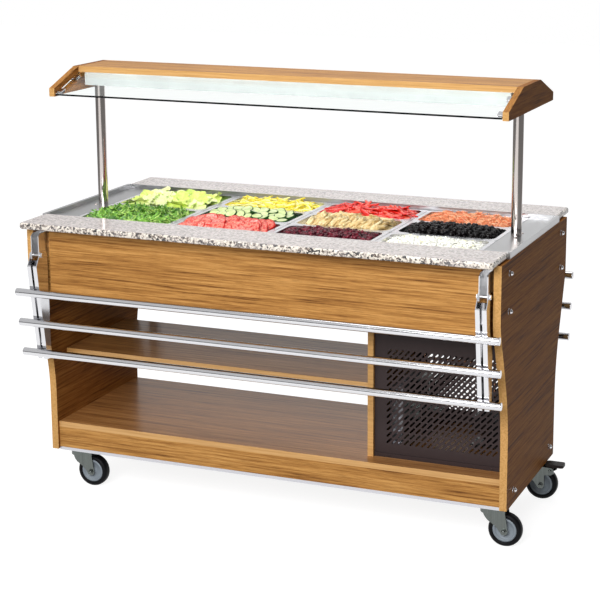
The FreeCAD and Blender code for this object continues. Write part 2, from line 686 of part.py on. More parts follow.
def tub_casing():
    floor, *walls = open_box(CASING_HALF_LENGTH, CASING_HALF_DEPTH, CASING_BOTTOM_Z,
                             PANEL_TOP_Z, CASING_SHEET)
    drain = cylinder(DRAIN_RADIUS, V(DRAIN_X, 0, CASING_BOTTOM_Z - 1), AXIS_Z, CASING_SHEET + 2)
    return [floor.cut(drain)] + walls


def divider_bar(x):
    """Inverted T: a flange that carries two pan rims and a web seen between them."""
    flange = box(x - BAR_FLANGE / 2, x + BAR_FLANGE / 2, -WELL_HALF_DEPTH + 1,
                 WELL_HALF_DEPTH - 1, LEDGE_Z - SHEET, LEDGE_Z)
    web = box(x - BAR_WEB / 2, x + BAR_WEB / 2, -WELL_HALF_DEPTH + 1, WELL_HALF_DEPTH - 1,
              LEDGE_Z - BAR_DEPTH, LEDGE_Z + LEDGE_DROP - 1)
    tongue = box(x - BAR_WEB / 2, x + BAR_WEB / 2, -PAN_FIELD_HALF_DEPTH,
                 PAN_FIELD_HALF_DEPTH, LEDGE_Z, LEDGE_Z + LEDGE_DROP - 1)
    return flange.fuse(web).fuse(tongue).removeSplitter()


def drain_valve():
    """Drain pipe from the tub floor with a ball valve and lever in the machine compartment."""
    outlet = ring(DRAIN_PIPE_RADIUS, DRAIN_BORE, V(DRAIN_X, 0, DRAIN_END_Z), AXIS_Z,
                  TUB_FLOOR_Z + SHEET - DRAIN_END_Z)
    body = cylinder(VALVE_RADIUS, V(DRAIN_X, -VALVE_HALF_LENGTH, VALVE_Z), AXIS_Y,
                    2 * VALVE_HALF_LENGTH)
    nut = hexagon(VALVE_NUT, V(DRAIN_X, 0, VALVE_Z - VALVE_NUT_HALF_HEIGHT), AXIS_Z,
                  2 * VALVE_NUT_HALF_HEIGHT)
    bore = cylinder(DRAIN_BORE, V(DRAIN_X, 0, VALVE_Z - VALVE_NUT), AXIS_Z, 2 * VALVE_NUT)
    lever_y = -VALVE_HALF_LENGTH - VALVE_STEM
    stem = cylinder(LEVER_SHEET, V(DRAIN_X, lever_y, VALVE_Z), AXIS_Y, VALVE_STEM + 2)
    lever = box(DRAIN_X - LEVER_HALF_WIDTH, DRAIN_X + LEVER_LENGTH, lever_y - LEVER_SHEET, lever_y,
                VALVE_Z - LEVER_HALF_WIDTH, VALVE_Z + LEVER_HALF_WIDTH)
    body = body.fuse(nut).cut(bore)
    return outlet.fuse(body).fuse(stem).fuse(lever).removeSplitter()


def pan(x, y, width):
    """Gastronorm pan: rolled rim resting on the ledge, deep rounded body, open at the top."""
    half_x = PAN_LENGTH / 2
    half_y = width / 2
    rim = rounded_box(x - half_x, x + half_x, y - half_y, y + half_y, LEDGE_Z, DECK_Z,
                      PAN_RIM_CORNER)
    groove = rounded_box(x - half_x + PAN_SHEET, x + half_x - PAN_SHEET,
                         y - half_y + PAN_SHEET, y + half_y - PAN_SHEET,
                         LEDGE_Z - 1, DECK_Z - PAN_SHEET,
                         PAN_RIM_CORNER - PAN_SHEET)
    body_x = half_x - PAN_RIM
    body_y = half_y - PAN_RIM
    floor_z = DECK_Z - PAN_DEPTH
    body = rounded_box(x - body_x, x + body_x, y - body_y, y + body_y, floor_z, DECK_Z,
                       PAN_CORNER)
    hollow = rounded_box(x - body_x + PAN_SHEET, x + body_x - PAN_SHEET,
                         y - body_y + PAN_SHEET, y + body_y - PAN_SHEET,
                         floor_z + PAN_SHEET, DECK_Z + 1, PAN_CORNER - PAN_SHEET)
    return rim.cut(groove).fuse(body).cut(hollow).removeSplitter()


def save_pans():
    """Two half-size pans in the first column, three third-size pans in the others."""
    for column in range(PAN_COLUMNS):
        x = (column - (PAN_COLUMNS - 1) / 2) * PAN_PITCH
        rows = ("front", "rear") if column == 0 else ("front", "middle", "rear")
        pitch = 2 * PAN_FIELD_HALF_DEPTH / len(rows)
        for index, row in enumerate(rows):
            y = -PAN_FIELD_HALF_DEPTH + pitch * (index + 0.5)
            save("pan_%d_%s" % (column + 1, row), pan(x, y, pitch - PAN_GAP))


# ---------------------------------------------------------------- sneeze guard
def guard_post():
    height = GUARD_BOARD_Z - DECK_Z
    base = V(POST_X, 0, DECK_Z)
    post = cylinder(POST_RADIUS, base, AXIS_Z, height)
    hollow = cylinder(POST_RADIUS - POST_WALL, base + V(0, 0, POST_PLUG), AXIS_Z,
                      height - 2 * POST_PLUG)
    stud = cylinder(POST_STUD_RADIUS, base - V(0, 0, POST_STUD_DROP), AXIS_Z, POST_STUD_DROP + 2)
    nut = hexagon(POST_NUT, V(POST_X, 0, LEDGE_Z - SHEET - POST_NUT_HEIGHT), AXIS_Z,
                  POST_NUT_HEIGHT)
    return post.cut(hollow).fuse(stud).fuse(nut).removeSplitter()


def post_screws():
    """Two low domed screws on the deck in front of and behind each post."""
    screws = []
    for y in (-DECK_SCREW_Y, DECK_SCREW_Y):
        x = POST_X + DECK_SCREW_X
        ball = Part.makeSphere(DECK_SCREW_RADIUS, V(x, y, DECK_Z - DECK_SCREW_RADIUS / 2))
        above = box(x - DECK_SCREW_RADIUS, x + DECK_SCREW_RADIUS, y - DECK_SCREW_RADIUS,
                    y + DECK_SCREW_RADIUS, DECK_Z, DECK_Z + DECK_SCREW_RADIUS)
        screws.append(ball.common(above))
    return screws


def guard_posts():
    pieces = [guard_post()] + post_screws()
    return pieces + [mirrored_x(piece) for piece in pieces]


def gable():
    points = [(-GABLE_HALF_DEPTH, GABLE_BOTTOM_Z), (-GABLE_HALF_DEPTH, GABLE_SHOULDER_Z),
              (-GUARD_TOP_HALF_DEPTH, GUARD_TOP_Z), (GUARD_TOP_HALF_DEPTH, GUARD_TOP_Z),
              (GABLE_HALF_DEPTH, GABLE_SHOULDER_Z), (GABLE_HALF_DEPTH, GABLE_BOTTOM_Z)]
    return prism_x(points, GABLE_INNER_X, GABLE_OUTER_X)


def guard_top_board():
    return box(-GABLE_INNER_X, GABLE_INNER_X, -GUARD_TOP_HALF_DEPTH, GUARD_TOP_HALF_DEPTH,
               GUARD_BOARD_Z, GUARD_TOP_Z)


def lamp_housing():
    """White channel under the top board, open below, notched round the posts."""
    wall = SHEET
    x = HOUSING_HALF_LENGTH
    y = HOUSING_HALF_DEPTH
    shell = box(-x, x, -y, y, HOUSING_BOTTOM_Z, GUARD_BOARD_Z)
    shell = shell.cut(box(-x + wall, x - wall, -y + wall, y - wall,
                          HOUSING_BOTTOM_Z - 1, GUARD_BOARD_Z - wall))
    lip = box(-x + wall, x - wall, -y + wall, -y + HOUSING_LIP, HOUSING_BOTTOM_Z,
              HOUSING_BOTTOM_Z + wall)
    for solid in front_and_rear(lip):
        shell = shell.fuse(solid)
    notch = cylinder(POST_RADIUS + AIR_GAP, V(POST_X, 0, HOUSING_BOTTOM_Z - 1), AXIS_Z,
                     GUARD_TOP_Z - HOUSING_BOTTOM_Z)
    for cut in both_ends(notch):
        shell = shell.cut(cut)
    return shell.removeSplitter()


def lamp_tube():
    """Fluorescent tube with a batten and two end holders fixed under the housing roof."""
    z = HOUSING_BOTTOM_Z + LAMP_RISE
    half = LAMP_LENGTH / 2
    roof = GUARD_BOARD_Z - SHEET
    tube = cylinder(LAMP_RADIUS, V(-half, 0, z), AXIS_X, LAMP_LENGTH)
    holder = box(half, half + LAMP_HOLDER_LENGTH, -LAMP_HOLDER_HALF_WIDTH,
                 LAMP_HOLDER_HALF_WIDTH, z - LAMP_HOLDER_HALF_WIDTH, roof)
    batten = box(-half, half, -BATTEN_HALF_WIDTH, BATTEN_HALF_WIDTH, roof - BATTEN_HEIGHT, roof)
    return [tube] + both_ends(holder) + [batten]


def glass_frame():
    """Upper and lower corner of the front pane's outer face, and its slope."""
    upper = (-GUARD_TOP_HALF_DEPTH, GUARD_BOARD_Z)
    lower = (-GABLE_HALF_DEPTH + 2, GLASS_EDGE_Z)
    slope = math.atan2(upper[1] - lower[1], upper[0] - lower[0])
    return upper, lower, slope


def glass_pane():
    upper, lower, slope = glass_frame()
    drop = (math.sin(slope) * GLASS_THICKNESS, -math.cos(slope) * GLASS_THICKNESS)
    points = [upper, lower, (lower[0] + drop[0], lower[1] + drop[1]),
              (upper[0] + drop[0], upper[1] + drop[1])]
    return prism_x(points, -GABLE_INNER_X + 3, GABLE_INNER_X - 3)


def glass_clip(share):
    """U-shaped clip on the gable's inner face that grips the end of a pane."""
    upper, lower, slope = glass_frame()
    middle_y = upper[0] + (lower[0] - upper[0]) * share
    middle_z = upper[1] + (lower[1] - upper[1]) * share
    half = CLIP_HALF_WIDTH
    wall = CLIP_WALL
    along = (math.cos(slope), math.sin(slope))
    down = (math.sin(slope), -math.cos(slope))

    def block(start, end, inner_x, outer_x):
        points = []
        for side, depth in ((-1, start), (1, start), (1, end), (-1, end)):
            points.append((middle_y + side * half * along[0] + depth * down[0],
                           middle_z + side * half * along[1] + depth * down[1]))
        return prism_x(points, inner_x, outer_x)

    grip = block(-wall, GLASS_THICKNESS + wall, GABLE_INNER_X - CLIP_REACH, GABLE_INNER_X)
    slot = block(0.0, GLASS_THICKNESS, GABLE_INNER_X - CLIP_REACH - 1, GABLE_INNER_X - wall)
    return grip.cut(slot)


def glass_clips():
    clips = []
    for share in CLIP_SHARES:
        clips += four_corners(glass_clip(share))
    return clips


# ---------------------------------------------------------------- tray slides
def arm_point(along, out):
    """A point of the folded front arm: distance along it from the pivot, and outwards."""
    lean = math.radians(ARM_LEAN)
    y = -PIVOT_Y + along * math.sin(lean) - out * math.cos(lean)
    z = PIVOT_Z - along * math.cos(lean) - out * math.sin(lean)
    return (y, z)


def tray_arm():
    """Folded channel arm at the right front: slotted outer face, cheeks and lower back web."""
    x0 = ARM_X - ARM_WIDTH / 2
    x1 = ARM_X + ARM_WIDTH / 2
    face_top = arm_point(ARM_FACE_START, ARM_FACE)
    face_end = arm_point(ARM_END, ARM_FACE)
    end_z = face_end[1]
    head = 11.0
    outline = [face_top, face_end, (-ARM_BACK_Y, end_z), (-ARM_BACK_Y, PIVOT_Z),
               (-PIVOT_Y + 2 * head, PIVOT_Z + head), (-PIVOT_Y - head / 2, PIVOT_Z + head)]
    arm = prism_x(outline, x0, x1)
    web_top = PIVOT_Z - 26.0
    hollow = [arm_point(-60.0, ARM_FACE - ARM_SHEET), arm_point(ARM_END + 20, ARM_FACE - ARM_SHEET),
              (-ARM_BACK_Y - ARM_SHEET, end_z - 20), (-ARM_BACK_Y - ARM_SHEET, web_top),
              (-ARM_BACK_Y + 10, web_top), (-ARM_BACK_Y + 10, PIVOT_Z + 40)]
    arm = arm.cut(prism_x(hollow, x0 + ARM_SHEET, x1 - ARM_SHEET))
    slot = [arm_point(ARM_FACE_START - 10, ARM_FACE + 1), arm_point(ARM_END + 10, ARM_FACE + 1),
            arm_point(ARM_END + 10, ARM_FACE - ARM_SHEET - 1),
            arm_point(ARM_FACE_START - 10, ARM_FACE - ARM_SHEET - 1)]
    arm = arm.cut(prism_x(slot, ARM_X - ARM_SLOT / 2, ARM_X + ARM_SLOT / 2))
    bore = cylinder(PIVOT_RADIUS + RUNNING_CLEARANCE, V(x0 - 1, -PIVOT_Y, PIVOT_Z), AXIS_X,
                    ARM_WIDTH + 2)
    return arm.cut(bore)


def tube_centre(station):
    seat = 0.3
    return arm_point(station, ARM_FACE + TUBE_RADIUS - seat)


def tray_tube(station):
    y, z = tube_centre(station)
    inner_length = TUBE_HALF_LENGTH - CAP_THICKNESS
    return ring(TUBE_RADIUS, TUBE_RADIUS - TUBE_WALL, V(-inner_length, y, z), AXIS_X,
                2 * inner_length)


def tube_cap(station):
    y, z = tube_centre(station)
    start = TUBE_HALF_LENGTH - CAP_THICKNESS
    head = cylinder(TUBE_RADIUS, V(start, y, z), AXIS_X, CAP_THICKNESS)
    rim = [edge for edge in head.Edges
           if abs(edge.CenterOfMass.x - TUBE_HALF_LENGTH) < 0.01 and edge.Length > 1]
    head = head.makeFillet(1.5, rim)
    spigot = cylinder(TUBE_RADIUS - TUBE_WALL, V(start - 10, y, z), AXIS_X, 10)
    return head.fuse(spigot).removeSplitter()


def tube_bolt(station):
    """Screw that holds a tube on the slotted face, with its wide nut inside the channel."""
    lean = math.radians(ARM_LEAN)
    outwards = V(0, -math.cos(lean), -math.sin(lean))
    inner = ARM_FACE - ARM_SHEET
    y, z = arm_point(station, inner - 8.0)
    screw = cylinder(3.0, V(ARM_X, y, z), outwards, 8.0 + ARM_SHEET + 1.2)
    y, z = arm_point(station, inner - 5.0)
    nut = cylinder(7.5, V(ARM_X, y, z), outwards, 5.0)
    return screw.fuse(nut).removeSplitter()


def front_tray_slide():
    arm = tray_arm()
    tubes = [tray_tube(station) for station in TUBE_STATIONS]
    for tube in tubes:
        y, z = tube.BoundBox.Center.y, tube.BoundBox.Center.z
        arm = arm.cut(cylinder(TUBE_RADIUS, V(ARM_X - ARM_WIDTH, y, z), AXIS_X, 2 * ARM_WIDTH))
    caps = []
    bolts = []
    for station in TUBE_STATIONS:
        caps += both_ends(tube_cap(station))
        bolt = tube_bolt(station)
        y, z = tube_centre(station)
        bolt = bolt.cut(cylinder(TUBE_RADIUS, V(ARM_X - 20, y, z), AXIS_X, 40))
        bolts += both_ends(bolt)
    return both_ends(arm) + tubes + caps + bolts


def tray_bracket():
    """Channel screwed into the apron rebate; its side flanges carry the pivot bolt."""
    half = ARM_WIDTH / 2 - ARM_SHEET - AIR_GAP
    back_y = -APRON_FRONT + RECESS_DEPTH
    foot_z = PIVOT_Z - 12.0
    flange = [(back_y, BRACKET_TOP_Z), (-BRACKET_FRONT_Y + 12, BRACKET_TOP_Z),
              (-BRACKET_FRONT_Y, BRACKET_TOP_Z - 8), (-BRACKET_FRONT_Y, foot_z), (back_y, foot_z)]
    channel = prism_x(flange, ARM_X - half, ARM_X + half)
    inner_half = half - ARM_SHEET
    channel = channel.cut(box(ARM_X - inner_half, ARM_X + inner_half, -BRACKET_FRONT_Y - 1,
                              back_y - ARM_SHEET, foot_z - 1, BRACKET_TOP_Z + 1))
    pivot_hole = cylinder(PIVOT_RADIUS, V(ARM_X - half - 1, -PIVOT_Y, PIVOT_Z), AXIS_X,
                          2 * half + 2)
    screw_head = Part.makeSphere(7.0, V(ARM_X, back_y, BRACKET_TOP_Z - 20))
    screw_head = screw_head.common(box(ARM_X - 8, ARM_X + 8, back_y - 7, back_y - ARM_SHEET,
                                       BRACKET_TOP_Z - 30, BRACKET_TOP_Z - 10))
    return channel.cut(pivot_hole).fuse(screw_head).removeSplitter()


def pivot_bolt():
    reach = ARM_WIDTH / 2 + AIR_GAP
    nut = 4.2
    rod = cylinder(PIVOT_RADIUS, V(ARM_X - reach, -PIVOT_Y, PIVOT_Z), AXIS_X, 2 * reach)
    for side in (-1, 1):
        start = V(ARM_X + side * reach, -PIVOT_Y, PIVOT_Z)
        rod = rod.fuse(hexagon(13.0, start, AXIS_X * side, nut))
    return rod.removeSplitter()


def tray_brackets():
    return four_corners(tray_bracket()) + four_corners(pivot_bolt())


# ---------------------------------------------------------------- machine compartment
def slot_shape(x, z):
    """Outline of one slanted ventilation slot with round ends, in the grille's face."""
    y = -GRILLE_FACE_Y
    turn = math.radians(SLOT_ANGLE)
    along = V(math.cos(turn), 0, math.sin(turn))
    across = V(-along.z, 0, along.x) * (SLOT_WIDTH / 2)
    half = along * (SLOT_LENGTH / 2 - SLOT_WIDTH / 2)
    reach = along * (SLOT_LENGTH / 2)
    centre = V(x, y, z)
    low, high = centre - half, centre + half
    edges = [Part.makeLine(low - across, high - across),
             Part.Arc(high - across, centre + reach, high + across).toShape(),
             Part.makeLine(high + across, low + across),
             Part.Arc(low + across, centre - reach, low - across).toShape()]
    return Part.Wire(edges)


def grille_sheet():
    """Flat perforated sheet between the foot and head strips."""
    x0 = PARTITION_X + BOARD
    x1 = PANEL_INNER_X
    y = -GRILLE_FACE_Y
    foot_z = SHELF_TOP_Z + GRILLE_BOTTOM_STRIP
    outline = Part.makePolygon([V(x0, y, foot_z), V(x1, y, foot_z), V(x1, y, GRILLE_FOLD_Z),
                                V(x0, y, GRILLE_FOLD_Z), V(x0, y, foot_z)])
    holes = []
    for column in range(SLOT_COLUMNS):
        for row in range(SLOT_ROWS):
            holes.append(slot_shape(SLOT_FIRST_X + column * SLOT_PITCH_X,
                                    SLOT_FIRST_Z + row * SLOT_PITCH_Z))
    face = Part.Face([outline] + holes, "Part::FaceMakerBullseye")
    return face.extrude(V(0, GRILLE_SHEET, 0))


def grille_strip(edge_z, far_z):
    """Folded strip along one edge of the sheet: a flange on the edge and a raised face."""
    back = -GRILLE_FACE_Y + GRILLE_SHEET
    front = -GRILLE_FACE_Y - GRILLE_STEP
    sheet = GRILLE_SHEET if far_z > edge_z else -GRILLE_SHEET
    points = [(back, edge_z), (front, edge_z), (front, far_z), (front + GRILLE_SHEET, far_z),
              (front + GRILLE_SHEET, edge_z + sheet), (back, edge_z + sheet)]
    return prism_x(points, PARTITION_X + BOARD, PANEL_INNER_X)


def grille_foot():
    return grille_strip(SHELF_TOP_Z + GRILLE_BOTTOM_STRIP, SHELF_TOP_Z)


def grille_head():
    return grille_strip(GRILLE_FOLD_Z, CASING_BOTTOM_Z)


def grille_screws():
    left_inset, right_inset = GRILLE_SCREW_INSET
    front = -GRILLE_FACE_Y - GRILLE_STEP
    radius = GRILLE_SCREW_RADIUS
    screws = []
    for x in (PARTITION_X + BOARD + left_inset, PANEL_INNER_X - right_inset):
        for z in (SHELF_TOP_Z + GRILLE_BOTTOM_STRIP / 2, GRILLE_FOLD_Z + GRILLE_SCREW_RISE):
            ball = Part.makeSphere(radius, V(x, front + GRILLE_SCREW_DEPTH, z))
            outside = box(x - radius, x + radius, front - radius, front, z - radius, z + radius)
            screws.append(ball.common(outside))
    return screws


def rear_grille(front_sheet):
    """Mirror of the front grille with the control cut-outs, the switch frame and thermostat."""
    outer_y = GRILLE_FACE_Y + GRILLE_STEP
    frame_x = SWITCH_HALF_WIDTH + SWITCH_FRAME_WALL
    frame_z = SWITCH_HALF_HEIGHT + SWITCH_FRAME_WALL
    window = box(SWITCH_X - frame_x, SWITCH_X + frame_x, outer_y - GRILLE_STEP, outer_y + 1,
                 CONTROL_Z - frame_z, CONTROL_Z + frame_z)
    spindle_hole = cylinder(KNOB_SPINDLE + 1, V(KNOB_X, outer_y - GRILLE_STEP, CONTROL_Z),
                            AXIS_Y, GRILLE_STEP + 1)
    head = mirrored_y(grille_head()).cut(window).cut(spindle_hole)
    frame = box(SWITCH_X - frame_x, SWITCH_X + frame_x, outer_y - SWITCH_FRAME_DEPTH,
                outer_y + SWITCH_FRAME_EDGE, CONTROL_Z - frame_z, CONTROL_Z + frame_z)
    well = box(SWITCH_X - SWITCH_HALF_WIDTH, SWITCH_X + SWITCH_HALF_WIDTH,
               outer_y - SWITCH_FRAME_DEPTH + SWITCH_FRAME_WALL, outer_y + 2 * SWITCH_FRAME_EDGE,
               CONTROL_Z - SWITCH_HALF_HEIGHT, CONTROL_Z + SWITCH_HALF_HEIGHT)
    pin_bore = cylinder(SWITCH_PIN_RADIUS + RUNNING_CLEARANCE,
                        V(SWITCH_X - frame_x - 1, SWITCH_PIVOT_Y, CONTROL_Z), AXIS_X,
                        2 * frame_x + 2)
    frame = frame.cut(well).cut(pin_bore)
    thermostat = box(KNOB_X - THERMOSTAT_HALF_WIDTH, KNOB_X + THERMOSTAT_HALF_WIDTH,
                     outer_y - THERMOSTAT_DEPTH, outer_y - GRILLE_SHEET,
                     CONTROL_Z - THERMOSTAT_HALF_HEIGHT, CONTROL_Z + THERMOSTAT_HALF_HEIGHT)
    spindle_bore = cylinder(KNOB_SPINDLE + RUNNING_CLEARANCE,
                            V(KNOB_X, outer_y - KNOB_SPINDLE_DEPTH - 2, CONTROL_Z), AXIS_Y,
                            THERMOSTAT_DEPTH)
    thermostat = thermostat.cut(spindle_bore)
    mirrored = [mirrored_y(piece) for piece in [front_sheet, grille_foot()] + grille_screws()]
    return mirrored + [head, frame, thermostat]


def power_switch():
    """Rocker, stored with its lower half pressed in."""
    centre = V(SWITCH_X, SWITCH_PIVOT_Y, CONTROL_Z)
    half = SWITCH_HALF_WIDTH - AIR_GAP
    height = ROCKER_HALF_HEIGHT
    profile = [(-ROCKER_BACK, 1 - height), (-ROCKER_BACK, height - 1), (ROCKER_FRONT, height),
               (ROCKER_CREST, 0.0), (ROCKER_FRONT, -height)]
    points = [(centre.y + y, centre.z + z) for y, z in profile]
    rocker = prism_x(points, SWITCH_X - half, SWITCH_X + half)
    rocker.rotate(centre, AXIS_X, SWITCH_TILT)
    pin_half = SWITCH_HALF_WIDTH + SWITCH_FRAME_WALL - AIR_GAP
    pin = cylinder(SWITCH_PIN_RADIUS, V(SWITCH_X - pin_half, centre.y, centre.z), AXIS_X,
                   2 * pin_half)
    return rocker.fuse(pin).removeSplitter()


def thermostat_knob():
    outer_y = GRILLE_FACE_Y + GRILLE_STEP
    start = outer_y + AIR_GAP
    skirt = cylinder(KNOB_RADIUS, V(KNOB_X, start, CONTROL_Z), AXIS_Y, KNOB_SKIRT)
    blade = cylinder(KNOB_RADIUS - 4, V(KNOB_X, start, CONTROL_Z), AXIS_Y, KNOB_HEIGHT)
    blade = blade.common(box(KNOB_X - KNOB_GRIP_HALF_WIDTH, KNOB_X + KNOB_GRIP_HALF_WIDTH, start,
                             start + KNOB_HEIGHT, CONTROL_Z - KNOB_RADIUS, CONTROL_Z + KNOB_RADIUS))
    spindle = cylinder(KNOB_SPINDLE, V(KNOB_X, outer_y - KNOB_SPINDLE_DEPTH, CONTROL_Z), AXIS_Y,
                       KNOB_SPINDLE_DEPTH + 2)
    return skirt.fuse(blade).fuse(spindle).removeSplitter()


def compressor():
    """Hermetic compressor shell with a seam flange, terminal box and footed base plate."""
    x, y, radius = COMPRESSOR_X, COMPRESSOR_Y, COMPRESSOR_RADIUS
    base_z = SHELF_TOP_Z
    plate_top = COMPRESSOR_FOOT + COMPRESSOR_PLATE
    plate = box(x - COMPRESSOR_PLATE_HALF_X, x + COMPRESSOR_PLATE_HALF_X,
                y - COMPRESSOR_PLATE_HALF_Y, y + COMPRESSOR_PLATE_HALF_Y,
                base_z + COMPRESSOR_FOOT, base_z + plate_top)
    foot_x = COMPRESSOR_PLATE_HALF_X - COMPRESSOR_FOOT_INSET
    foot_y = COMPRESSOR_PLATE_HALF_Y - COMPRESSOR_FOOT_INSET
    feet = []
    for dx in (-foot_x, foot_x):
        for dy in (-foot_y, foot_y):
            feet.append(cylinder(COMPRESSOR_FOOT_RADIUS, V(x + dx, y + dy, base_z), AXIS_Z,
                                 COMPRESSOR_FOOT))
    half_profile = [(0, plate_top), (radius - 14, plate_top), (radius, plate_top + 20),
                    (radius, SEAM_Z), (radius + SEAM_WIDTH, SEAM_Z),
                    (radius + SEAM_WIDTH, SEAM_Z + SEAM_HEIGHT), (radius, SEAM_Z + SEAM_HEIGHT),
                    (radius, COMPRESSOR_HEIGHT - 34), (radius - 22, COMPRESSOR_HEIGHT - 8),
                    (0, COMPRESSOR_HEIGHT), (0, plate_top)]
    profile = [V(x + out, y, base_z + up) for out, up in half_profile]
    shell = Part.Face(Part.makePolygon(profile)).revolve(V(x, y, 0), AXIS_Z, 360)
    terminal = box(x - radius - TERMINAL_REACH, x - radius + 8, y - TERMINAL_HALF_WIDTH,
                   y + TERMINAL_HALF_WIDTH, base_z + TERMINAL_Z0, base_z + TERMINAL_Z1)
    return shell.multiFuse([terminal, plate] + feet).removeSplitter()


def condenser():
    """Finned coil: header plates at both ends and tubes through all the fins."""
    y = CONDENSER_HALF_WIDTH
    headers = front_and_rear(box(CONDENSER_X0, CONDENSER_X1, -y, -y + HEADER_SHEET, SHELF_TOP_Z,
                                 CONDENSER_Z1))
    first = -y + 2 * HEADER_SHEET
    pitch = -2 * first / (FIN_COUNT - 1)
    fins = []
    for index in range(FIN_COUNT):
        start = first + index * pitch - FIN_THICKNESS / 2
        fins.append(box(CONDENSER_X0 + 2, CONDENSER_X1 - 2, start, start + FIN_THICKNESS,
                        CONDENSER_Z0, CONDENSER_Z1 - 2))
    tubes = []
    for x in (CONDENSER_X0 + COIL_TUBE_INSET, CONDENSER_X1 - COIL_TUBE_INSET):
        for row in range(COIL_TUBE_ROWS):
            z = CONDENSER_Z0 + COIL_FIRST_RISE + row * COIL_TUBE_PITCH
            tubes.append(cylinder(COIL_TUBE_RADIUS, V(x, -y - COIL_TUBE_OVERHANG, z), AXIS_Y,
                                  2 * (y + COIL_TUBE_OVERHANG)))
    return headers[0].multiFuse([headers[1]] + fins + tubes)


def fan_shroud():
    """Plate with a ring round the fan, plus the motor on three arms behind the blades."""
    x0 = CONDENSER_X1 + SHROUD_GAP
    bore = FAN_RADIUS + SHROUD_CLEARANCE
    plate = box(x0, x0 + SHROUD_SHEET, -CONDENSER_HALF_WIDTH, CONDENSER_HALF_WIDTH, SHELF_TOP_Z,
                CONDENSER_Z1)
    collar = cylinder(bore + SHROUD_SHEET, V(x0, 0, FAN_Z), AXIS_X, SHROUD_DEPTH)
    opening = cylinder(bore, V(x0 - 1, 0, FAN_Z), AXIS_X, SHROUD_DEPTH + 2)
    motor_x = x0 + SHROUD_DEPTH
    motor = cylinder(MOTOR_RADIUS, V(motor_x, 0, FAN_Z), AXIS_X, MOTOR_LENGTH)
    shaft_bore = cylinder(FAN_SHAFT_RADIUS + RUNNING_CLEARANCE, V(motor_x - 1, 0, FAN_Z), AXIS_X,
                          MOTOR_RADIUS)
    arms = []
    for turn in MOTOR_ARM_TURNS:
        arm = box(motor_x - 2, motor_x - 2 + MOTOR_ARM_SHEET, -MOTOR_ARM_HALF_WIDTH,
                  MOTOR_ARM_HALF_WIDTH, FAN_Z + MOTOR_RADIUS - 6, FAN_Z + bore + SHROUD_SHEET)
        arm.rotate(V(0, 0, FAN_Z), AXIS_X, turn - 90)
        arms.append(arm)
    ring_plate = plate.fuse(collar).cut(opening)
    return ring_plate.multiFuse([motor.cut(shaft_bore)] + arms).removeSplitter()


def fan_blades():
    hub_x = FAN_X - FAN_HUB_HALF_LENGTH
    hub = cylinder(FAN_HUB_RADIUS, V(hub_x, 0, FAN_Z), AXIS_X, 2 * FAN_HUB_HALF_LENGTH)
    shaft = cylinder(FAN_SHAFT_RADIUS, V(hub_x, 0, FAN_Z), AXIS_X, 5 * FAN_HUB_HALF_LENGTH)
    swept = cylinder(FAN_RADIUS, V(FAN_X - FAN_BLADE_HALF_WIDTH, 0, FAN_Z), AXIS_X,
                     2 * FAN_BLADE_HALF_WIDTH)
    blades = []
    for index in range(FAN_BLADES):
        blade = box(FAN_X - 1, FAN_X + 1, -FAN_BLADE_HALF_WIDTH, FAN_BLADE_HALF_WIDTH,
                    FAN_Z + FAN_HUB_RADIUS - 6, FAN_Z + FAN_RADIUS)
        blade.rotate(V(FAN_X, 0, FAN_Z), AXIS_Z, FAN_BLADE_TWIST)
        blade = blade.common(swept)
        blade.rotate(V(FAN_X, 0, FAN_Z), AXIS_X, index * 360 / FAN_BLADES)
        blades.append(blade)
    return hub.multiFuse([shaft] + blades).removeSplitter()


def refrigerant_pipes():
    """Discharge line to the coil, liquid line up to the tub, and suction line back down."""
    shell_z = SHELF_TOP_Z + COMPRESSOR_HEIGHT - 8
    y = COMPRESSOR_Y
    coil_y = CONDENSER_HALF_WIDTH + COIL_TUBE_OVERHANG
    side_y = coil_y + PIPE_SIDE_GAP
    low_z = CONDENSER_Z0 + COIL_FIRST_RISE
    high_z = low_z + (COIL_TUBE_ROWS - 1) * COIL_TUBE_PITCH
    out_x = COMPRESSOR_X + DISCHARGE_X
    out_z = shell_z + DISCHARGE_RISE
    in_x = CONDENSER_X1 - COIL_TUBE_INSET
    discharge = pipe([V(out_x, y, shell_z), V(out_x, y, out_z), V(out_x, side_y, out_z),
                      V(in_x, side_y, out_z), V(in_x, side_y, high_z), V(in_x, coil_y, high_z)],
                     DISCHARGE_RADIUS)
    liquid_x = CONDENSER_X0 + COIL_TUBE_INSET
    liquid = pipe([V(liquid_x, coil_y, low_z), V(liquid_x, side_y, low_z),
                   V(liquid_x, side_y, CASING_BOTTOM_Z)], LIQUID_RADIUS)
    back_x = COMPRESSOR_X + SUCTION_X
    back_z = shell_z + SUCTION_RISE
    suction = pipe([V(back_x, y, shell_z), V(back_x, y, back_z), V(back_x, SUCTION_END_Y, back_z),
                    V(back_x, SUCTION_END_Y, CASING_BOTTOM_Z)], SUCTION_RADIUS)
    drum = compressor()
    return [discharge.cut(drum), liquid, suction.cut(drum)]


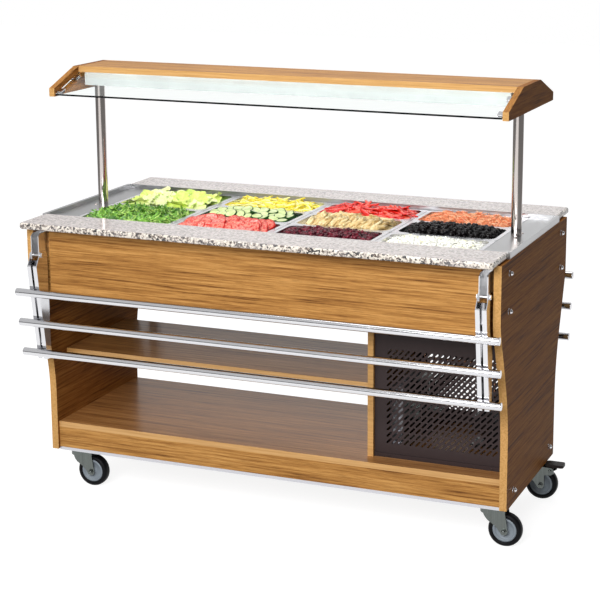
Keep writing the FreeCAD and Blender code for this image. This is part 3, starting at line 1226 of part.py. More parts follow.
# ---------------------------------------------------------------- casters
def caster_plate(x, y):
    """Top plate with its upper race and screw heads, and the kingpin riveted into it."""
    z1 = PANEL_BOTTOM_Z
    z0 = z1 - CASTER_PLATE_THICKNESS
    plate = rounded_box(x - CASTER_PLATE_HALF_X, x + CASTER_PLATE_HALF_X, y - CASTER_PLATE_HALF_Y,
                        y + CASTER_PLATE_HALF_Y, z0, z1, CASTER_PLATE_CORNER)
    plate = plate.fuse(cylinder(RACE_RADIUS, V(x, y, CASTER_RACE_Z), AXIS_Z, z0 - CASTER_RACE_Z))
    for dx in (-PLATE_SCREW_X, PLATE_SCREW_X):
        for dy in (-PLATE_SCREW_Y, PLATE_SCREW_Y):
            plate = plate.fuse(hexagon(PLATE_SCREW, V(x + dx, y + dy, z0 - PLATE_SCREW_HEAD),
                                       AXIS_Z, PLATE_SCREW_HEAD))
    head_z = CROWN_BOTTOM_Z - KINGPIN_HEAD
    kingpin = cylinder(KINGPIN_RADIUS, V(x, y, head_z), AXIS_Z, CASTER_RACE_Z - head_z)
    head = cylinder(KINGPIN_RADIUS + 4, V(x, y, head_z), AXIS_Z, KINGPIN_HEAD - AIR_GAP)
    return [plate.removeSplitter(), kingpin.fuse(head).removeSplitter()]


def fork_side_view(braked):
    """Outline of a fork leg as (reach, height) points, without its rounded foot."""
    foot_end = CASTER_TRAIL + FORK_FOOT_RADIUS
    points = list(FORK_LEADING_EDGE) + [(foot_end, WHEEL_RADIUS)]
    if braked:
        points += list(FORK_EAR)
    return points + [(FORK_TRAILING_REACH, FORK_TOP_Z)]


def fork_shell(x, y, braked):
    """Sheet bent to a U round the wheel's leading side and cut to the side view."""
    outer = FORK_INNER + FORK_SHEET
    bottom = WHEEL_RADIUS - FORK_FOOT_RADIUS
    height = FORK_TOP_Z - bottom
    start = V(x, y, bottom)
    end_x = x + PEDAL_END
    solid = cylinder(outer, start, AXIS_Z, height)
    solid = solid.fuse(box(x, end_x, y - outer, y + outer, bottom, FORK_TOP_Z))
    space = cylinder(FORK_INNER, start, AXIS_Z, height)
    space = space.fuse(box(x, end_x, y - FORK_INNER, y + FORK_INNER, bottom, FORK_TOP_Z))
    side_view = [(x + reach, z) for reach, z in fork_side_view(braked)]
    profile = prism_y(side_view, y - outer, y + outer)
    foot = cylinder(FORK_FOOT_RADIUS, V(x + CASTER_TRAIL, y - outer, WHEEL_RADIUS), AXIS_Y,
                    2 * outer)
    return solid.cut(space).common(profile.fuse(foot))


def caster_fork(x, y, braked):
    """Crown with the bent fork below it, and the axle bolt with domed nuts through both legs."""
    crown_top = CASTER_RACE_Z - AIR_GAP
    crown = cylinder(CROWN_RADIUS, V(x, y, CROWN_BOTTOM_Z), AXIS_Z, crown_top - CROWN_BOTTOM_Z)
    fork = crown.fuse(fork_shell(x, y, braked))
    fork = fork.cut(cylinder(KINGPIN_RADIUS + RUNNING_CLEARANCE, V(x, y, CROWN_BOTTOM_Z - 1),
                             AXIS_Z, CASTER_RACE_Z - CROWN_BOTTOM_Z + 2))
    outer = FORK_INNER + FORK_SHEET
    axle = V(x + CASTER_TRAIL, y, WHEEL_RADIUS)
    parts = [cylinder(AXLE_RADIUS, axle - AXIS_Y * outer, AXIS_Y, 2 * outer)]
    for side in (-1, 1):
        face = axle + AXIS_Y * (side * outer)
        parts.append(hexagon(AXLE_NUT, face, AXIS_Y * side, AXLE_NUT_HEIGHT))
        parts.append(half_ball(AXLE_NUT_DOME, face + AXIS_Y * (side * AXLE_NUT_HEIGHT),
                               AXIS_Y * side))
    if braked:
        pivot = V(x + PEDAL_PIVOT_REACH, y, PEDAL_PIVOT_Z)
        parts.append(cylinder(PEDAL_PIN_RADIUS, pivot - AXIS_Y * outer, AXIS_Y, 2 * outer))
        for side in (-1, 1):
            parts.append(half_ball(PEDAL_RIVET, pivot + AXIS_Y * (side * outer), AXIS_Y * side))
    return fork.multiFuse(parts).removeSplitter()


def caster_wheel(x, y):
    """Grey hub with bearing bore and dished sides, and the tyre moulded round it."""
    centre = V(x + CASTER_TRAIL, y, WHEEL_RADIUS)
    half = WHEEL_WIDTH / 2
    hub_half = half - HUB_INSET
    boss_half = FORK_INNER - AIR_GAP
    hub = cylinder(HUB_RADIUS, centre - AXIS_Y * hub_half, AXIS_Y, 2 * hub_half)
    dish = ring(HUB_RADIUS - HUB_FLANGE, HUB_DISH_INNER, centre + AXIS_Y * (hub_half - HUB_DISH_DEPTH),
                AXIS_Y, HUB_DISH_DEPTH + 1)
    far_dish = dish.mirror(centre, AXIS_Y)
    boss = cylinder(HUB_BOSS_RADIUS, centre - AXIS_Y * boss_half, AXIS_Y, 2 * boss_half)
    bore = cylinder(AXLE_RADIUS + RUNNING_CLEARANCE, centre - AXIS_Y * boss_half, AXIS_Y,
                    2 * boss_half)
    hub = hub.cut(dish).cut(far_dish).fuse(boss).cut(bore)
    tyre = cylinder(WHEEL_RADIUS, centre - AXIS_Y * half, AXIS_Y, 2 * half)
    rims = [edge for edge in tyre.Edges if abs(edge.Length - 2 * math.pi * WHEEL_RADIUS) < 0.1]
    tyre = tyre.makeFillet(TYRE_ROUNDING, rims)
    tyre = tyre.cut(cylinder(HUB_RADIUS, centre - AXIS_Y * half, AXIS_Y, 2 * half))
    return [hub.removeSplitter(), tyre]


def brake_pedal(x, y):
    """Tread bar over the wheel, held by two cheeks on the pivot pin between the fork's ears."""
    half = FORK_INNER - AIR_GAP
    bottom = PEDAL_TOP_Z - PEDAL_HEIGHT
    tread = rounded_box(x + PEDAL_START, x + PEDAL_END, y - half, y + half, bottom, PEDAL_TOP_Z,
                        PEDAL_CORNER)
    pivot_x = x + PEDAL_PIVOT_REACH
    foot_z = PEDAL_PIVOT_Z - CHEEK_FOOT
    cheek = prism_y([(pivot_x - CHEEK_HALF_WIDTH, bottom), (pivot_x - CHEEK_FOOT, foot_z),
                     (pivot_x + CHEEK_FOOT, foot_z), (pivot_x + CHEEK_HALF_WIDTH, bottom)],
                    -half, -half + CHEEK_SHEET)
    bore = cylinder(PEDAL_PIN_RADIUS + RUNNING_CLEARANCE, V(pivot_x, -half - 1, PEDAL_PIVOT_Z),
                    AXIS_Y, CHEEK_SHEET + 2)
    cheeks = front_and_rear(cheek.cut(bore))
    for side in cheeks:
        side.translate(V(0, y, 0))
    return [tread] + cheeks


def save_casters():
    plates = []
    for end_name, x in (("left", -CASTER_X), ("right", CASTER_X)):
        for side_name, y in (("front", -CASTER_Y), ("rear", CASTER_Y)):
            name = side_name + "_" + end_name
            braked = side_name == "rear"
            plates += caster_plate(x, y)
            save("caster_fork_" + name, caster_fork(x, y, braked))
            save("caster_wheel_" + name, caster_wheel(x, y))
            if braked:
                save("brake_pedal_" + end_name, brake_pedal(x, y))
    save("caster_plates", plates)


# ---------------------------------------------------------------- all nodes
def build():
    right = side_panel()
    save("side_panel_right", right)
    save("side_panel_left", mirrored_x(right))
    save("aprons", front_and_rear(apron()))
    save("bottom_shelf", bottom_shelf())
    save("middle_shelf", middle_shelf())
    save("partition", partition())
    save("plinth_boards", front_and_rear(plinth_board()))
    save("plinth_trims", front_and_rear(plinth_trim()))
    save("base_frame", base_frame())
    save("top_rails", top_rails())
    save("cap_nuts", cap_nuts())
    save("worktop_slabs", front_and_rear(worktop_slab()))
    save("deck_tub", deck_tub())
    save("insulation", insulation())
    save("tub_casing", tub_casing())
    bars = [divider_bar((index - 1) * PAN_PITCH) for index in range(PAN_COLUMNS - 1)]
    save("divider_bars", bars)
    save("drain_valve", drain_valve())
    save_pans()
    save("guard_posts", guard_posts())
    save("guard_gables", both_ends(gable()))
    save("guard_top_board", guard_top_board())
    save("lamp_housing", lamp_housing())
    save("lamp_tube", lamp_tube())
    save("front_glass", glass_pane())
    save("rear_glass", mirrored_y(glass_pane()))
    save("glass_clips", glass_clips())
    slide = front_tray_slide()
    save("front_tray_slide", slide)
    save("rear_tray_slide", [mirrored_y(solid) for solid in slide])
    save("tray_brackets", tray_brackets())
    perforated = grille_sheet()
    save("front_grille", [perforated, grille_foot(), grille_head()] + grille_screws())
    save("rear_grille", rear_grille(perforated))
    save("power_switch", power_switch())
    save("thermostat_knob", thermostat_knob())
    save("compressor", compressor())
    save("condenser", condenser())
    save("fan_shroud", fan_shroud())
    save("fan_blades", fan_blades())
    save("refrigerant_pipes", refrigerant_pipes())
    save_casters()


build()
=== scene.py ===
"""Looks of the salad bar: materials, rounded loose parts, food in the pans, lights and camera."""
import json
import math
import random

import bmesh
import bpy
import numpy as np
from mathutils import Matrix, Vector


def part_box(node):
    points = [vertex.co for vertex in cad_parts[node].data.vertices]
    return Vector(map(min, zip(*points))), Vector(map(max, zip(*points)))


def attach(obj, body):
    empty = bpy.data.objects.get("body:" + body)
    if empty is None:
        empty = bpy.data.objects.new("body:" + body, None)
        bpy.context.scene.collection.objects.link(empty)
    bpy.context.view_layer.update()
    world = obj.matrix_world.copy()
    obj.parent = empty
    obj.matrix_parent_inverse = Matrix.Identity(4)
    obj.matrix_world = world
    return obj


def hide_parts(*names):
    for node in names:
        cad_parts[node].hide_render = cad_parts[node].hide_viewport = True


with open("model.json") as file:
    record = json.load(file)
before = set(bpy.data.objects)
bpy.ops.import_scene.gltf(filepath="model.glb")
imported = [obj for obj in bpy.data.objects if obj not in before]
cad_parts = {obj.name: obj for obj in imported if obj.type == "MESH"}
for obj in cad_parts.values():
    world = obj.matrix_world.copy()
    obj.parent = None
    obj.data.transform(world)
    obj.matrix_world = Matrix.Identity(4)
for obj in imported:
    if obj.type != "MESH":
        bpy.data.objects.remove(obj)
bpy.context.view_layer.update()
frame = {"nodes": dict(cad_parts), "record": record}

NODES = frame["nodes"]
BODIES = {node: name for name, nodes in frame["record"]["behaviour"]["bodies"].items()
          for node in nodes}
RNG = random.Random(7)

# ---------------------------------------------------------------- sizes in metres
SHIFT_X = (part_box("side_panel_left")[0].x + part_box("side_panel_right")[1].x) / 2
RIM_TOP = 0.881               # upper face of the pan rims
PAN_FILL = 0.022              # food level below the rim along the pan walls
PAN_BODY_INSET = 0.014        # rim edge to the inner wall of a pan
WHEEL_RADIUS = 0.051
HUB_RADIUS = 0.0365
WHEEL_HALF_WIDTH = 0.016
HUB_HALF_WIDTH = 0.019        # half width of the boss round the axle
HEAP_BOTTOM = RIM_TOP - 0.075 # underside of the food
HEAP_CORNER = 8               # the higher, the squarer a heap is in plan
HEAP_END_FALL = 3.2           # the higher, the later a heap falls off towards its ends
HEAP_SIDE_FALL = 2.6

ROOM_LEFT = 0.72              # brightness of the room to the left and to the right
ROOM_RIGHT = 0.10
HORIZON_SHARE = 0.35          # brightness near the horizon, as a share of the upper room
DARK_BAND = 0.04              # share left in the dark bands that polished metal mirrors
FLOOR_DARK_RIGHT = (2.9, 3.5)     # metres along X where the mirrored floor turns dark
FLOOR_DARK_LEFT = (-4.3, -3.8)
FLOOR_REACH = 14.0
FLOOR_GLOW = 0.86             # lifts the floor to white as the camera sees it

# sockets of the colour mix node, which share their names
MIX_A, MIX_B, MIX_RESULT = 6, 7, 2

PHASE_SPAN = 6.28             # about one turn, for the phases of waves

# linear colours of the wood, from its dark pores to its palest streaks
WOOD_PORE = (0.130, 0.050, 0.012)
WOOD_TONES = ((0.36, (0.120, 0.043, 0.010)), (0.43, (0.330, 0.146, 0.036)),
              (0.52, (0.480, 0.232, 0.062)), (0.62, (0.600, 0.312, 0.094)))
EDGE_TONES = ((0.35, (0.500, 0.262, 0.084)), (0.60, (0.640, 0.365, 0.135)))


# ---------------------------------------------------------------- shader helpers
class NodeTree:
    """An emptied node tree with helpers that keep node building readable."""

    def __init__(self, tree):
        self.tree = tree
        self.tree.nodes.clear()

    def link(self, source, target):
        self.tree.links.new(source, target)

    def put(self, kind, **values):
        """Add a node; values are sockets set to a constant or fed by another node's output."""
        node = self.tree.nodes.new(kind)
        for key, value in values.items():
            self.feed(node.inputs[key.replace("_", " ")], value)
        return node

    def feed(self, socket, value):
        if isinstance(value, bpy.types.NodeSocket):
            self.link(value, socket)
        else:
            socket.default_value = value

    def object_coords(self, scale=(1, 1, 1), turn=(0, 0, 0)):
        coords = self.put("ShaderNodeTexCoord")
        mapping = self.put("ShaderNodeMapping", Vector=coords.outputs["Object"],
                           Scale=scale, Rotation=turn)
        return mapping.outputs["Vector"]

    def noise(self, vector, scale, detail=4.0, roughness=0.55, distortion=0.0):
        node = self.put("ShaderNodeTexNoise", Vector=vector, Scale=scale, Detail=detail,
                        Roughness=roughness, Distortion=distortion)
        return node.outputs["Fac"]

    def ramp(self, value, stops):
        """Colour ramp from (position, colour) pairs."""
        node = self.tree.nodes.new("ShaderNodeValToRGB")
        elements = node.color_ramp.elements
        while len(elements) < len(stops):
            elements.new(0.5)
        for element, (position, colour) in zip(elements, stops):
            element.position = position
            element.color = (*colour, 1.0)
        self.link(value, node.inputs["Fac"])
        return node.outputs["Color"]

    def grey(self, value, low, high, start=0.0, end=1.0):
        """Turn the stretch from start to end into the stretch from low to high."""
        node = self.put("ShaderNodeMapRange", Value=value)
        node.inputs["From Min"].default_value = start
        node.inputs["From Max"].default_value = end
        node.inputs["To Min"].default_value = low
        node.inputs["To Max"].default_value = high
        return node.outputs["Result"]

    def mix(self, factor, first, second, mode="MIX"):
        """Colour mix; a plain colour is a tuple of three."""
        node = self.tree.nodes.new("ShaderNodeMix")
        node.data_type = "RGBA"
        node.blend_type = mode
        self.feed(node.inputs["Factor"], factor)
        for index, value in ((MIX_A, first), (MIX_B, second)):
            self.feed(node.inputs[index], (*value, 1.0) if isinstance(value, tuple) else value)
        return node.outputs[MIX_RESULT]

    def math(self, operation, first, second=0.0):
        node = self.tree.nodes.new("ShaderNodeMath")
        node.operation = operation
        self.feed(node.inputs[0], first)
        self.feed(node.inputs[1], second)
        return node.outputs[0]

    def face_share(self, axis):
        """How far a surface faces along one axis, from 0 to 1, in the piece's own frame."""
        coords = self.put("ShaderNodeTexCoord")
        parts = self.put("ShaderNodeSeparateXYZ", Vector=coords.outputs["Normal"])
        return self.math("ABSOLUTE", parts.outputs["XYZ".index(axis)])

    def path_share(self, *rays):
        """1 for the named kinds of ray, 0 for the others."""
        path = self.put("ShaderNodeLightPath")
        share = path.outputs[rays[0]]
        for ray in rays[1:]:
            share = self.math("MAXIMUM", share, path.outputs[ray])
        return share


class Shader(NodeTree):
    """A material whose surface is one principled shader."""

    def __init__(self, name):
        self.material = bpy.data.materials.new(name)
        self.material.use_nodes = True
        super().__init__(self.material.node_tree)
        self.output = self.put("ShaderNodeOutputMaterial")
        self.surface = self.put("ShaderNodeBsdfPrincipled")
        self.link(self.surface.outputs["BSDF"], self.output.inputs["Surface"])

    def set(self, **values):
        """Set or feed sockets of the principled shader."""
        for key, value in values.items():
            self.feed(self.surface.inputs[key.replace("_", " ")], value)

    def bump(self, height, strength, distance):
        node = self.put("ShaderNodeBump", Height=height, Strength=strength, Distance=distance)
        self.link(node.outputs["Normal"], self.surface.inputs["Normal"])


# ---------------------------------------------------------------- materials
def wood(name, grain, band_axis=None, tone=(1.0, 1.0, 1.0), coat=0.0, specular=0.15):
    """Laminate with fine lines along one axis; faces across band_axis carry the paler edging."""
    def toned(colour):
        return tuple(share * channel for share, channel in zip(tone, colour))

    shader = Shader(name)
    fine = {"X": (1.8, 75, 75), "Y": (75, 1.8, 75), "Z": (75, 75, 1.8)}[grain]
    broad = {"X": (0.7, 13, 13), "Y": (13, 0.7, 13), "Z": (13, 13, 0.7)}[grain]
    lines = shader.noise(shader.object_coords(fine), 2.6, 6.0, 0.62)
    waves = shader.noise(shader.object_coords(broad), 2.0, 3.0, 0.5, 0.6)
    pores = shader.noise(shader.object_coords(tuple(4 * v for v in fine)), 3.0, 3.0, 0.6)
    value = shader.math("ADD", shader.math("MULTIPLY", lines, 0.74),
                        shader.math("MULTIPLY", waves, 0.26))
    face = shader.ramp(value, [(place, toned(colour)) for place, colour in WOOD_TONES])
    clear_of_pores = shader.grey(pores, 0.50, 1.0, 0.36, 0.50)
    colour = shader.mix(clear_of_pores, toned(WOOD_PORE), face)
    if band_axis:
        band = shader.ramp(lines, EDGE_TONES)
        share = shader.grey(shader.face_share(band_axis), 0.0, 1.0, 0.30, 0.45)
        colour = shader.mix(share, colour, band)
    shader.set(Base_Color=colour, Roughness=shader.grey(lines, 0.42, 0.56),
               Specular_IOR_Level=specular, Coat_Weight=coat, Coat_Roughness=0.22)
    shader.bump(pores, 0.12, 0.0004)
    return shader.material


def granite():
    """Polished speckled stone: cream ground with grey, brown and near-black grains, and a painted grey
    sheen on the top faces.
    """
    shader = Shader("granite_polished")
    coords = shader.object_coords()
    wobble = shader.put("ShaderNodeTexNoise", Vector=coords, Scale=160.0, Detail=3.0)
    moved = shader.put("ShaderNodeVectorMath")
    moved.operation = "ADD"
    scaled = shader.put("ShaderNodeVectorMath")
    scaled.operation = "SCALE"
    shader.link(wobble.outputs["Color"], scaled.inputs[0])
    scaled.inputs["Scale"].default_value = 0.006
    shader.link(coords, moved.inputs[0])
    shader.link(scaled.outputs[0], moved.inputs[1])
    grains = shader.put("ShaderNodeTexVoronoi", Vector=moved.outputs[0], Scale=190.0)
    kind = shader.put("ShaderNodeSeparateColor", Color=grains.outputs["Color"])
    ground = shader.ramp(kind.outputs["Red"], [
        (0.00, (0.820, 0.760, 0.670)), (0.42, (0.740, 0.670, 0.570)),
        (0.60, (0.500, 0.440, 0.390)), (0.72, (0.300, 0.260, 0.230)),
        (0.86, (0.100, 0.070, 0.055))])
    flecks = shader.put("ShaderNodeTexVoronoi", Vector=moved.outputs[0], Scale=155.0)
    fleck_kind = shader.put("ShaderNodeSeparateColor", Color=flecks.outputs["Color"])
    dark = shader.grey(fleck_kind.outputs["Green"], 0.0, 1.0, 0.785, 0.795)
    colour = shader.mix(dark, ground, (0.014, 0.012, 0.013))
    clouds = shader.noise(coords, 9.0, 4.0)
    colour = shader.mix(shader.grey(clouds, 0.0, 0.30, 0.4, 0.7), colour, (0.60, 0.55, 0.55))
    # Faces lying flat, the top among them, are mixed towards a grey-mauve tone: a painted sheen
    # standing in for the polished top mirroring the room.
    top = shader.grey(shader.face_share("Z"), 0.0, 0.72, 0.85, 0.98)
    painted_top_sheen = shader.ramp(shader.noise(coords, 120.0, 5.0), [
        (0.35, (0.330, 0.280, 0.275)), (0.62, (0.510, 0.450, 0.445))])
    colour = shader.mix(top, colour, painted_top_sheen)
    shader.set(Base_Color=colour, Roughness=0.26, Coat_Weight=0.4, Coat_Roughness=0.07)
    shader.bump(shader.noise(coords, 300.0), 0.03, 0.0002)
    return shader.material


def metal(name, colour, roughness, brush=None, bump=0.05, wear=0.08):
    """Metal with fine brushing along one axis, or a cloudy sheen where brush is None."""
    shader = Shader(name)
    stretch = {"X": (2, 260, 260), "Y": (260, 2, 260), "Z": (260, 260, 2)}.get(brush, (24, 24, 24))
    lines = shader.noise(shader.object_coords(stretch), 2.0, 5.0, 0.6)
    smears = shader.noise(shader.object_coords(), 6.0, 4.0)
    tint = shader.grey(lines, 1.0 - wear, 1.0)
    base = shader.put("ShaderNodeCombineColor", Red=colour[0], Green=colour[1], Blue=colour[2])
    shaded = shader.mix(1.0, base.outputs["Color"], tint, "MULTIPLY")
    rough = shader.math("ADD", shader.grey(lines, -0.05, 0.05),
                        shader.grey(smears, roughness - 0.04, roughness + 0.05))
    shader.set(Base_Color=shaded, Metallic=1.0, Roughness=rough)
    shader.bump(lines, bump, 0.0002)
    return shader.material


def paint(name, colour, roughness, coat=0.0, specular=0.5, grain=500.0, bump=0.08):
    """Powder coat, plastic or rubber with a fine skin and slight tone changes."""
    shader = Shader(name)
    skin = shader.noise(shader.object_coords(), grain, 3.0)
    patches = shader.noise(shader.object_coords(), 7.0, 4.0)
    darker = tuple(0.86 * c for c in colour)
    tone = shader.mix(shader.grey(patches, 0.0, 1.0, 0.3, 0.7), darker, tuple(colour))
    shader.set(Base_Color=tone, Roughness=shader.grey(skin, roughness - 0.05, roughness + 0.06),
               Coat_Weight=coat, Specular_IOR_Level=specular)
    shader.bump(skin, bump, 0.0003)
    return shader.material


def glass():
    """Clear pane that lets shadow rays through, with green taken up along its length."""
    shader = Shader("pane_glass")
    streaks = shader.noise(shader.object_coords((1, 8, 8)), 3.0, 2.0)
    shader.set(Base_Color=(0.99, 0.995, 0.99, 1.0), Transmission_Weight=1.0, IOR=1.20,
               Roughness=shader.grey(streaks, 0.0, 0.012))
    absorb = shader.put("ShaderNodeVolumeAbsorption", Color=(0.40, 0.82, 0.70, 1.0), Density=6.0)
    clear = shader.put("ShaderNodeBsdfTransparent", Color=(0.93, 0.97, 0.95, 1.0))
    path = shader.put("ShaderNodeLightPath")
    blend = shader.tree.nodes.new("ShaderNodeMixShader")
    shader.link(path.outputs["Is Shadow Ray"], blend.inputs["Fac"])
    shader.link(shader.surface.outputs["BSDF"], blend.inputs[1])
    shader.link(clear.outputs["BSDF"], blend.inputs[2])
    shader.link(blend.outputs[0], shader.output.inputs["Surface"])
    shader.link(absorb.outputs["Volume"], shader.output.inputs["Volume"])
    return shader.material


def produce(name, low, high, scale, roughness=0.35, coat=0.3, bump=0.3, specular=0.5,
            depth=0.002):
    """Food: two tones mixed by noise, a moist coat and soft bumps."""
    shader = Shader(name)
    coords = shader.object_coords()
    mottling = shader.noise(coords, scale, 5.0, 0.6)
    tone = shader.ramp(mottling, [(0.36, low), (0.64, high)])
    shader.set(Base_Color=tone, Roughness=shader.grey(mottling, roughness + 0.08, roughness - 0.05),
               Coat_Weight=coat, Coat_Roughness=0.15, Specular_IOR_Level=specular)
    shader.bump(shader.noise(coords, scale * 3, 4.0), bump, depth)
    return shader.material


# ---------------------------------------------------------------- mesh helpers
def face_outwards(mesh):
    """Turn the faces of every closed shape in a mesh so that they all face out."""
    work = bmesh.new()
    work.from_mesh(mesh)
    bmesh.ops.recalc_face_normals(work, faces=work.faces[:])
    work.to_mesh(mesh)
    work.free()


def mesh_object(name, vertices, faces, body, materials, indices=None):
    """A smooth-shaded piece that moves with one body."""
    mesh = bpy.data.meshes.new(name)
    mesh.from_pydata([tuple(v) for v in vertices], [], [tuple(f) for f in faces])
    for material in materials:
        mesh.materials.append(material)
    if indices is not None:
        mesh.polygons.foreach_set("material_index", indices)
    mesh.polygons.foreach_set("use_smooth", [True] * len(mesh.polygons))
    face_outwards(mesh)
    mesh.update()
    piece = bpy.data.objects.new(name, mesh)
    bpy.context.scene.collection.objects.link(piece)
    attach(piece, body)
    return piece


class Pile:
    """Collects many copies of small shapes into one mesh."""

    def __init__(self):
        self.vertices = []
        self.faces = []
        self.indices = []
        self.count = 0

    def add(self, shape, matrix, index=0):
        vertices, faces = shape[0], shape[1]
        own = shape[2] if len(shape) > 2 else None
        points = np.asarray(vertices, float)
        turned = points @ np.array(matrix.to_3x3()).T + np.array(matrix.translation)
        self.vertices.append(turned)
        for number, face in enumerate(faces):
            self.faces.append([corner + self.count for corner in face])
            self.indices.append(own[number] if own else index)
        self.count += len(points)

    def build(self, name, body, materials):
        mesh_object(name, np.concatenate(self.vertices), self.faces, body, materials,
                    self.indices)


def lathe(profile, steps, centre):
    """Turn a closed (radius, offset) profile round the Y axis through centre."""
    vertices, faces = [], []
    count = len(profile)
    for step in range(steps):
        turn = 2 * math.pi * step / steps
        for radius, offset in profile:
            point = (radius * math.cos(turn), offset, radius * math.sin(turn))
            vertices.append(tuple(c + p for c, p in zip(centre, point)))
    for step in range(steps):
        following = (step + 1) % steps
        for index in range(count):
            nxt = (index + 1) % count
            faces.append((step * count + index, step * count + nxt,
                          following * count + nxt, following * count + index))
    return vertices, faces


def dress(node, material, bevel=0.0):
    """Give a CAD node its material, and a small rounding of its edges."""
    piece = NODES[node]
    piece.data.materials.clear()
    piece.data.materials.append(material)
    if bevel:
        edge = piece.modifiers.new("edge", "BEVEL")
        edge.width = bevel
        edge.segments = 2
        edge.limit_method = "ANGLE"
        edge.angle_limit = math.radians(50)


# ---------------------------------------------------------------- food shapes
def leaf_shape(length, width, curl, lobes=0):
    """A thin curled leaf; lobes gives it the notched outline of rocket."""
    rows, half = 9, 2
    vertices, faces = [], []
    for row in range(rows):
        along = row / (rows - 1)
        spread = math.sin(math.pi * min(1.0, along * 0.92 + 0.08)) ** 0.7
        if lobes:
            spread *= 0.45 + 0.55 * abs(math.cos(math.pi * lobes * along))
        for column in range(-half, half + 1):
            across = column / half
            y = across * width * 0.5 * spread
            z = curl * length * (along - 0.5) ** 2 * 2 - abs(across) * width * 0.18 * spread
            z += 0.10 * width * math.sin(9 * along + 4 * across)
            vertices.append(((along - 0.5) * length, y, z))
    wide = 2 * half + 1
    for row in range(rows - 1):
        for column in range(wide - 1):
            first = row * wide + column
            faces.append((first, first + 1, first + wide + 1, first + wide))
    return vertices, faces


def crinkled_leaf(radius, seed, ruffle, cup):
    """A torn, ruffled lettuce leaf."""
    local = random.Random(seed)
    rings, sectors = 7, 22
    phase = [local.uniform(0, PHASE_SPAN) for _ in range(4)]
    vertices, faces = [(0.0, 0.0, 0.0)], []
    for ring_index in range(1, rings + 1):
        share = ring_index / rings
        for sector in range(sectors):
            turn = 2 * math.pi * sector / sectors
            edge = 1 + 0.12 * math.sin(3 * turn + phase[0]) + 0.05 * math.sin(7 * turn + phase[1])
            r = radius * share * edge
            z = radius * ruffle * share ** 2 * math.sin(5 * turn + phase[2])
            z += radius * 0.10 * share * math.sin(11 * turn + phase[3] + 5 * share)
            z += radius * cup * share ** 2
            vertices.append((r * math.cos(turn), 0.75 * r * math.sin(turn), z))
    for sector in range(sectors):
        faces.append((0, 1 + sector, 1 + (sector + 1) % sectors))
    for ring_index in range(rings - 1):
        base = 1 + ring_index * sectors
        for sector in range(sectors):
            nxt = (sector + 1) % sectors
            faces.append((base + sector, base + nxt, base + sectors + nxt, base + sectors + sector))
    return vertices, faces


def disc_slice(radius, thickness, wobble=0.05, seed=0, sectors=26):
    """A round slice; faces carry index 0 and the skin round the edge index 1."""
    local = random.Random(seed)
    phase = local.uniform(0, PHASE_SPAN)
    rings = (0.0, 0.35, 0.68, 0.85, 1.0)
    vertices, faces, indices = [], [], []
    levels = []
    for side in (1, -1):
        for share in rings[1:]:
            row = []
            for sector in range(sectors):
                turn = 2 * math.pi * sector / sectors
                r = radius * share * (1 + wobble * math.sin(3 * turn + phase))
                drop = thickness * (0.5 if share < 0.95 else 0.32)
                row.append(len(vertices))
                vertices.append((r * math.cos(turn), r * math.sin(turn), side * drop))
            levels.append(row)
    top_centre, bottom_centre = len(vertices), len(vertices) + 1
    vertices += [(0, 0, thickness * 0.46), (0, 0, -thickness * 0.46)]
    half = len(rings) - 1

    def join(first, second, index):
        for sector in range(sectors):
            nxt = (sector + 1) % sectors
            faces.append((first[sector], first[nxt], second[nxt], second[sector]))
            indices.append(index)

    for start, centre in ((0, top_centre), (half, bottom_centre)):
        for sector in range(sectors):
            faces.append((centre, levels[start][sector], levels[start][(sector + 1) % sectors]))
            indices.append(0)
        for level in range(half - 1):
            join(levels[start + level], levels[start + level + 1], 1 if level == half - 2 else 0)
    join(levels[half - 1], levels[2 * half - 1], 1)
    return vertices, faces, indices


def strip_shape(length, width, thickness, bend, seed=0):
    """A cut strip of flesh or skin, bowed along its length."""
    steps = 9
    section = ((-1, -0.5), (-0.8, 0.5), (0.0, 0.75), (0.8, 0.5), (1, -0.5), (0.0, -0.35))
    local = random.Random(seed)
    twist = local.uniform(-0.5, 0.5)
    vertices, faces = [], []
    for step in range(steps):
        along = step / (steps - 1) - 0.5
        taper = 1 - 0.5 * abs(2 * along) ** 3
        turn = twist * along
        for y, z in section:
            py, pz = y * width * 0.5 * taper, z * thickness
            vertices.append((along * length,
                             py * math.cos(turn) - pz * math.sin(turn) + bend * length * along ** 2,
                             py * math.sin(turn) + pz * math.cos(turn)
                             - bend * 0.6 * length * along ** 2))
    corners = len(section)
    for step in range(steps - 1):
        for corner in range(corners):
            nxt = (corner + 1) % corners
            a = step * corners
            faces.append((a + corner, a + nxt, a + corners + nxt, a + corners + corner))
    faces.append(tuple(range(corners - 1, -1, -1)))
    faces.append(tuple((steps - 1) * corners + corner for corner in range(corners)))
    return vertices, faces


def ball_shape(radii, rings=7, sectors=12, dent=0.0):
    """An ellipsoid; dent pushes in one side, as on a bean."""
    vertices, faces = [(0, 0, radii[2])], []
    for ring_index in range(1, rings):
        tilt = math.pi * ring_index / rings
        for sector in range(sectors):
            turn = 2 * math.pi * sector / sectors
            x = math.sin(tilt) * math.cos(turn)
            y = math.sin(tilt) * math.sin(turn)
            z = math.cos(tilt)
            y += dent * (1 - x * x)
            vertices.append((x * radii[0], y * radii[1], z * radii[2]))
    vertices.append((0, 0, -radii[2]))
    last = len(vertices) - 1
    for sector in range(sectors):
        nxt = (sector + 1) % sectors
        faces.append((0, 1 + sector, 1 + nxt))
        faces.append((last, last - sectors + nxt, last - sectors + sector))
    for ring_index in range(rings - 2):
        base = 1 + ring_index * sectors
        for sector in range(sectors):
            nxt = (sector + 1) % sectors
            faces.append((base + sector, base + sectors + sector, base + sectors + nxt, base + nxt))
    return vertices, faces


